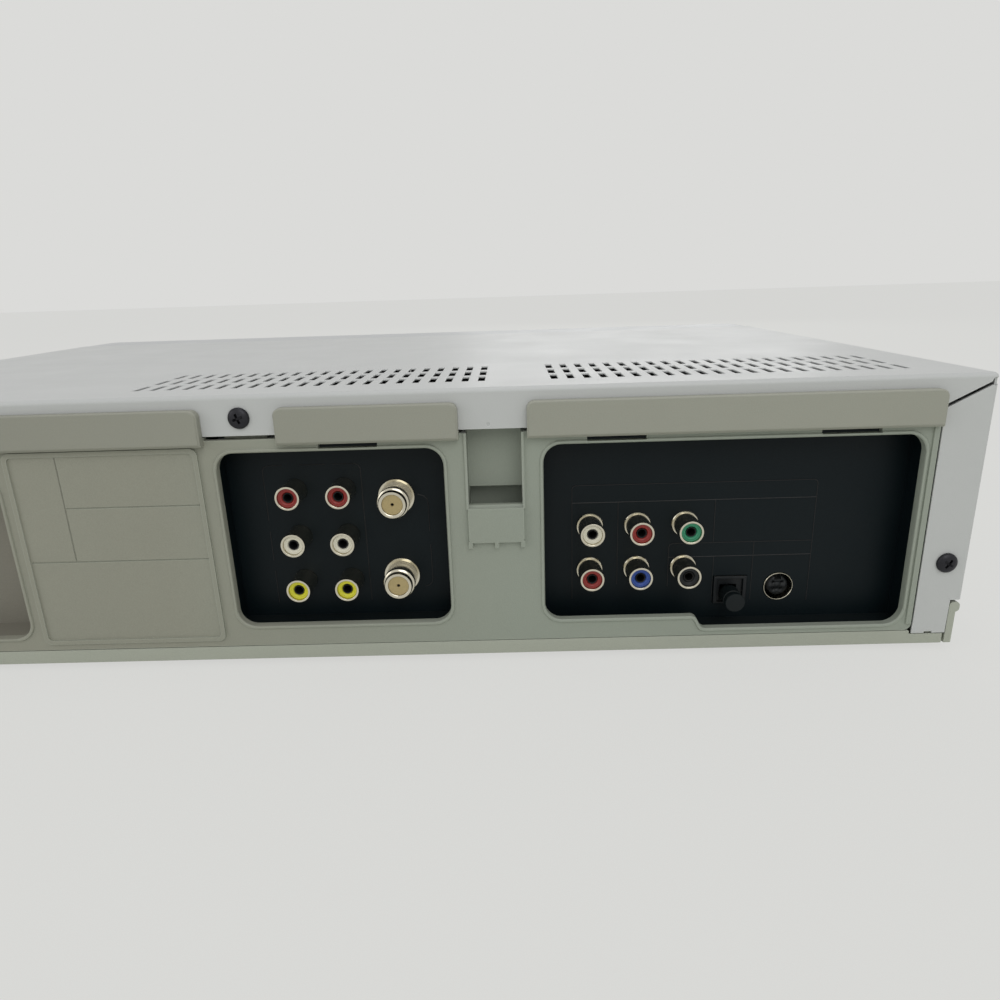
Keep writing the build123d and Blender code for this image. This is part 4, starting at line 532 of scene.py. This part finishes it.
# round video socket: a thin rolled ring, and its moulded core beside the black insert
video = {"x": -155.3, "z": 21.1, "radius": 5.25, "wall": 0.28, "back": -6.9, "proud": 0.55,
         "coreReach": 7, "coreEdge": 0.1}
videoCore = bmesh.new()
videoCore.from_mesh(nodes["black_inserts"].data)
merged(videoCore)
stray = [v for v in videoCore.verts if abs(v.co.x / mm - video["x"]) > video["coreReach"]]
bmesh.ops.delete(videoCore, geom=stray, context="VERTS")
easeEdges(videoCore, video["coreEdge"] * mm)
joinInto(inserts["black"], videoCore)
ring = bmesh.new()
outer, inner, tip = video["radius"], video["radius"] - video["wall"], video["proud"]
ringProfile = [(inner, video["back"]), (outer, video["back"]), (outer, tip - 0.1), (outer - 0.08, tip)]
ringProfile += [(inner + 0.08, tip), (inner, tip - 0.1)]
turned(ring, ringProfile, (video["x"], plateFace, video["z"]), toRear, steps=56, closed=True)
placePiece(ring, "videoRing", "nickel", "case", replaced=("svideo_shield",))
for colour, bm in inserts.items():
    placePiece(bm, colour + "Inserts", colour + "_insert", "case", replaced=(insertNodes[colour],))
print("phono jacks turned")

# cover screws: low domed heads with a flared cross recess
screws = {
    "head": 3.5, "height": 1.85, "shank": 1.4, "length": 7.0, "rimHeight": 0.5,
    "slot": 0.95, "reach": 2.15, "depth": 1.3, "firstTurn": 20, "nextTurn": 37, "smooth": 30,
    "rear": ((27.65, 90.0), (-207.4, 33.3), (207.4, 33.3)), "rearFace": 136.5,
    "side": (-70.0, 60.0), "sideZ": 12.0, "sideFace": 215.0,
}


def panScrew(bm, place, direction):
    head, height, rim = screws["head"], screws["height"], screws["rimHeight"]
    shank, length = screws["shank"], screws["length"]
    angles = [math.radians(15 * k) for k in range(6)]
    dome = [(head * math.cos(a), rim + (height - rim) * math.sin(a)) for a in angles]
    profile = [(0, -length), (shank, -length + 0.8), (shank, 0), (head - 0.2, 0), (head, 0.2)]
    turned(bm, profile + dome + [(0, height)], place, direction)


def crossCutter(bm, place, direction, spin):
    # one tapering plus, wider at the mouth, standing on the screw's axis
    part = bmesh.new()
    rings, loops = [], []
    mouth, bottom = screws["height"] + 0.5, screws["height"] - screws["depth"]
    for level, reachShare, slotShare in ((bottom, 0.5, 0.7), (mouth, 1.0, 1.0)):
        reach, half = screws["reach"] * reachShare, screws["slot"] / 2 * slotShare
        corner = [(reach, -half), (reach, half), (half, half)]
        quarters = ((1, 0), (0, 1), (-1, 0), (0, -1))
        outline = [(x * c - y * s, x * s + y * c) for c, s in quarters for x, y in corner]
        ring = [part.verts.new((x * mm, y * mm, level * mm)) for x, y in outline]
        loops += [part.edges.new((ring[k - 1], ring[k])) for k in range(len(ring))]
        rings.append(ring)
    bmesh.ops.bridge_loops(part, edges=loops)
    for ring in rings:
        part.faces.new(ring)
    bmesh.ops.recalc_face_normals(part, faces=part.faces)
    bmesh.ops.transform(part, matrix=standing(place, direction, spin), verts=part.verts)
    joinInto(bm, part)


screwPlaces = [((x, screws["rearFace"], z), toRear) for x, z in screws["rear"]]
for side in (-1, 1):
    for y in screws["side"]:
        screwPlaces.append(((side * screws["sideFace"], y, screws["sideZ"]), (side, 0, 0)))
screwBodies, recesses = bmesh.new(), bmesh.new()
for count, (place, direction) in enumerate(screwPlaces):
    panScrew(screwBodies, place, direction)
    turnedBy = screws["firstTurn"] + screws["nextTurn"] * count
    crossCutter(recesses, place, direction, math.radians(turnedBy))
coverScrews = placePiece(screwBodies, "coverScrews", "screw_black", "case", replaced=("cover_screws",))
carve(coverScrews, recesses)
coverScrews.data.set_sharp_from_angle(angle=math.radians(screws["smooth"]))
print("cover screws cut")

# aerial connectors: washer, round nut, threaded barrel and waxy centre
aerial = {
    "x": -19.5, "z": (58.9, 29.3), "radius": 4.95, "bore": 3.65, "length": 10.8, "tail": 1.5,
    "washer": 6.45, "washerHeight": 0.8, "nut": 5.5, "nutHeight": 8.2, "pitch": 0.8, "threadDepth": 0.22,
    "threadEnd": 0.7, "pinHole": 0.55, "centreSet": 0.55, "centreFrom": 2.0, "centreGap": 0.03,
    "lining": [(0, 5.1), (0.5, 5.1), (0.5, 9.6), (0.4, 9.7), (0.3, 9.6), (0.3, 5.6), (0, 5.6)],
}


def aerialBody(bm, place):
    radius, length, bore, tail = aerial["radius"], aerial["length"], aerial["bore"], aerial["tail"]
    washer, washerTop, nut = aerial["washer"], aerial["washerHeight"], aerial["nut"]
    nutTop, pitch = washerTop + aerial["nutHeight"], aerial["pitch"]
    profile = [(bore, -tail), (radius, -tail), (radius, 0), (washer, 0)]
    profile += [(washer, washerTop - 0.15), (washer - 0.15, washerTop), (nut - 0.1, washerTop)]
    profile += [(nut, washerTop + 0.15), (nut, nutTop - 0.4), (nut - 0.4, nutTop)]
    along = nutTop
    while along + pitch < length - aerial["threadEnd"]:
        profile += [(radius - aerial["threadDepth"], along + 0.1), (radius, along + pitch / 2)]
        along += pitch
    profile += [(radius - 0.05, length - 0.5), (radius - 0.35, length), (bore + 0.4, length)]
    turned(bm, profile + [(bore, length - 0.25)], place, toRear, steps=56, closed=True)


def aerialCentre(bm, place):
    top, hole = aerial["length"] - aerial["centreSet"], aerial["pinHole"]
    rim, bottom = aerial["bore"] - aerial["centreGap"], aerial["centreFrom"]
    profile = [(0, bottom), (rim, bottom), (rim, top - 0.15), (rim - 0.15, top), (hole + 0.15, top)]
    profile += [(hole, top - 0.15), (hole, 5.0), (0, 5.0)]
    turned(bm, profile, place, toRear, closed=True)


barrels, centres, pinHoleShadeTubes = bmesh.new(), bmesh.new(), bmesh.new()
for z in aerial["z"]:
    place = (aerial["x"], plateFace, z)
    aerialBody(barrels, place)
    aerialCentre(centres, place)
    # a near-black tube in each pin hole: painted shade
    turned(pinHoleShadeTubes, aerial["lining"], place, toRear, steps=20, closed=True)
placePiece(barrels, "aerialBarrels", "nickel", "case", replaced=("f_connectors",))
placePiece(centres, "aerialCentres", "dielectric", "case", replaced=("f_dielectrics",))
placePiece(pinHoleShadeTubes, "aerialPinHoles", "socketDark", "case")
print("aerial connectors turned")

# the optical cap: domed head, grip groove and a stepped plug
cap = {
    "x": -137.4, "z": 19.0, "from": 117.2, "to": 134.4, "head": 3.45, "headFrom": 126.4,
    "plug": [(0, 0), (1.1, 0), (1.5, 0.4), (1.5, 7.0), (2.3, 7.0)], "groove": 0.25,
}
capHead, capTop, capLow = cap["head"], cap["to"] - cap["from"], cap["headFrom"] - cap["from"]
capProfile = cap["plug"] + [(2.3, capLow), (capHead - 0.3, capLow), (capHead, capLow + 0.3)]
capProfile += [(capHead, capTop - 3.0), (capHead - cap["groove"], capTop - 2.8)]
capProfile += [(capHead - cap["groove"], capTop - 2.2), (capHead, capTop - 2.0), (capHead, capTop - 0.35)]
capProfile += [(capHead - 0.12, capTop - 0.1), (capHead - 0.4, capTop), (0, capTop)]
capBody = bmesh.new()
turned(capBody, capProfile, (cap["x"], cap["from"], cap["z"]), toRear, steps=48)
placePiece(capBody, "opticalCap", "cap_plastic", "dust_cap", replaced=("dust_cap",))
print("optical cap turned")

# front: icons on the keys and the unlit digits on the pane, drawn as thin raised shapes
front = {
    "keyZ": 31.0, "iconThick": 0.12, "sunk": 0.05,
    "digitHigh": 11.0, "digitWide": 6.2, "stroke": 1.1, "strokeGap": 0.5, "lean": 0.08,
    "digitZ": 22.5, "digitX": (-29.9, -20.3, -7.9, 1.7, 14.1, 23.7), "digitThick": 0.03,
    "dot": 1.2, "dotX": (-10.6, 11.4), "dotLevels": (0.32, 0.68),
}


def flatShape(bm, outline, face, depth):
    # the outline's points are (x, z) seen from the front; the shape stands proud of the face
    part = bmesh.new()
    near = part.faces.new([part.verts.new((x * mm, (face - depth) * mm, z * mm)) for x, z in outline])
    grown = bmesh.ops.extrude_face_region(part, geom=[near], use_keep_orig=True)["geom"]
    far = [item for item in grown if isinstance(item, bmesh.types.BMVert)]
    bmesh.ops.translate(part, vec=(0, (depth + front["sunk"]) * mm, 0), verts=far)
    bmesh.ops.recalc_face_normals(part, faces=part.faces)
    joinInto(bm, part)


def triangle(x, z, size, heading):
    corners = [math.radians(heading + 120 * k) for k in range(3)]
    return [(x + size * math.cos(a), z + size * math.sin(a)) for a in corners]


def bar(x, z, wide, high):
    left, right, low, top = x - wide / 2, x + wide / 2, z - high / 2, z + high / 2
    return [(left, low), (right, low), (right, top), (left, top)]


def arcBand(x, z, outer, inner, start, end, steps=24):
    angles = [math.radians(start + (end - start) * k / steps) for k in range(steps + 1)]
    rim = [(x + outer * math.cos(a), z + outer * math.sin(a)) for a in angles]
    return rim + [(x + inner * math.cos(a), z + inner * math.sin(a)) for a in reversed(angles)]


def segment(x, z, wide, high):
    half = min(wide, high) / 2
    left, right, low, top = x - wide / 2, x + wide / 2, z - high / 2, z + high / 2
    if wide > high:
        ends = [(left, z), (left + half, low), (right - half, low)]
        ends += [(right, z), (right - half, top), (left + half, top)]
    else:
        ends = [(x, low), (right, low + half), (right, top - half)]
        ends += [(x, top), (left, top - half), (left, low + half)]
    return [(px + (pz - front["digitZ"]) * front["lean"], pz) for px, pz in ends]


def frontMiddle(node):
    low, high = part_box(node)
    return (low[0] + high[0]) / 2 / mm, low[1] / mm


# each shape is given from its key's middle
icons = {
    "power_button": [(arcBand, 0, 0, 3.2, 2.5, 120, 420), (bar, 0, 2.6, 0.7, 2.6)],
    "open_button": [(triangle, 0, 0.3, 1.7, 90), (bar, 0, -1.5, 3.0, 0.7)],
    "dvd_play_button": [(triangle, 0, 0, 1.9, 0)],
    "dvd_stop_button": [(bar, 0, 0, 2.9, 2.9)],
    "vcr_eject_button": [(triangle, 0, 0.3, 1.7, 90), (bar, 0, -1.5, 3.0, 0.7)],
    "vcr_play_button": [(triangle, 0, 0, 1.9, 0)],
    "wind_rocker": [
        (triangle, -9.2, 0, 1.5, 180), (triangle, -11.5, 0, 1.5, 180),
        (triangle, 9.2, 0, 1.5, 0), (triangle, 11.5, 0, 1.5, 0),
    ],
}
for node, shapes in icons.items():
    middle, face = frontMiddle(node)
    icon = bmesh.new()
    for draw, x, z, *sizes in shapes:
        flatShape(icon, draw(middle + x, front["keyZ"] + z, *sizes), face, front["iconThick"])
    placePiece(icon, node.replace("_", "") + "Icon", "keyMark", node)

paneFace = frontMiddle("display_window")[1]
high, wide, stroke, base = front["digitHigh"], front["digitWide"], front["stroke"], front["digitZ"]
strokes = []
for left in front["digitX"]:
    for level in (0, high / 2, high):
        strokes.append(segment(left + wide / 2, base + level, wide - stroke, stroke))
    for x in (left, left + wide):
        for level in (high / 4, high * 3 / 4):
            strokes.append(segment(x, base + level, stroke, high / 2 - front["strokeGap"]))
for x in front["dotX"]:
    for level in (high * share for share in front["dotLevels"]):
        strokes.append(bar(x + level * front["lean"], base + level, front["dot"], front["dot"]))
digits = bmesh.new()
for outline in strokes:
    flatShape(digits, outline, paneFace, front["digitThick"])
placePiece(digits, "displayDigits", "segment", "case")
print("front marked")

# line work on the dark plates: narrow raised ribs, points are (x, z)
ribs = {
    "width": 0.34,
    "sunk": 0.02,
    "discPlateRibs": [
        [(-80.8, 18.0), (-80.8, 59.6), (-81.2, 60.5), (-82.1, 60.9), (-164.7, 60.9), (-165.6, 60.5),
         (-166.0, 59.6), (-166.0, 15.3)],
        [(-80.8, 54.5), (-166.0, 54.5)],
        [(-97.0, 54.5), (-97.0, 23.3)],
        [(-131.0, 54.5), (-131.0, 38.5)],
        [(-115.3, 22.0), (-115.3, 37.2), (-115.7, 38.1), (-116.6, 38.5), (-166.0, 38.5)],
        [(-115.3, 33.2), (-166.0, 33.2)],
        [(-131.5, 33.2), (-131.5, 16.0)],
        [(-145.5, 38.5), (-145.5, 16.0)],
    ],
    "tapePlateRibs": [
        [(19.5, 71.1), (24.6, 71.1), (25.9, 70.5), (26.5, 69.3), (26.5, 51.0)],
        [(26.5, 47.0), (26.5, 36.0)],
        [(26.5, 32.0), (26.5, 19.5)],
        [(13.5, 71.1), (4.5, 71.1)],
        [(2.0, 71.1), (-5.6, 71.1), (-7.0, 70.5), (-7.6, 69.3), (-7.6, 19.5)],
        [(-26.9, 59.4), (-28.9, 58.8), (-30.1, 57.6), (-30.4, 55.8), (-30.4, 45.6)],
        [(-30.4, 40.6), (-30.4, 27.4), (-30.1, 26.0), (-29.2, 25.0), (-27.4, 24.5)],
    ],
}


def ribPiece(name):
    curve = bpy.data.curves.new(name, "CURVE")
    curve.dimensions = "3D"
    curve.bevel_depth = ribs["width"] / 2 * mm
    curve.bevel_resolution = 1
    curve.use_fill_caps = True
    for run in ribs[name]:
        spline = curve.splines.new("POLY")
        spline.points.add(len(run) - 1)
        for point, (x, z) in zip(spline.points, run):
            point.co = (x * mm, (plateFace - ribs["sunk"]) * mm, z * mm, 1)
    holder = bpy.data.objects.new(name + "Curve", curve)
    bpy.context.scene.collection.objects.link(holder)
    bpy.context.view_layer.update()
    graph = bpy.context.evaluated_depsgraph_get()
    mesh = bpy.data.meshes.new_from_object(holder.evaluated_get(graph))
    bpy.data.objects.remove(holder)
    bm = bmesh.new()
    bm.from_mesh(mesh)
    bpy.data.meshes.remove(mesh)
    placePiece(sealed(bm), name, "plateLine", "case")


for ribName in ("discPlateRibs", "tapePlateRibs"):
    ribPiece(ribName)
print("plates ribbed")

# the floor glows for the camera and in reflections, and keeps the object's shadow
floorMesh = bpy.data.meshes.new("studioFloor")
floorShape = bmesh.new()
bmesh.ops.create_grid(floorShape, x_segments=2, y_segments=2, size=studio["floorReach"])
floorShape.to_mesh(floorMesh)
floorShape.free()
floorMesh.materials.append(materials["floor"])
floor = bpy.data.objects.new("studioFloor", floorMesh)
bpy.context.scene.collection.objects.link(floor)
floorTree = materials["floor"].node_tree
floorShader, floorOut = floorTree.nodes["Principled BSDF"], floorTree.nodes["Material Output"]
floorGlow = addNode(floorTree, "ShaderNodeEmission", {"Color": studio["backdrop"], "Strength": 1.0})
floorShare = addNode(floorTree, "ShaderNodeMath", {1: studio["floorGlow"]}, operation="MULTIPLY")
floorTree.links.new(backdropShare(floorTree), floorShare.inputs[0])
mixSurface(floorTree, floorShare.outputs[0], floorShader, floorGlow, floorOut)
print("floor laid")

for node, slotName in shown.items():
    nodes[node].data.materials.clear()
    nodes[node].data.materials.append(materials[slotName])
print("remaining nodes finished")
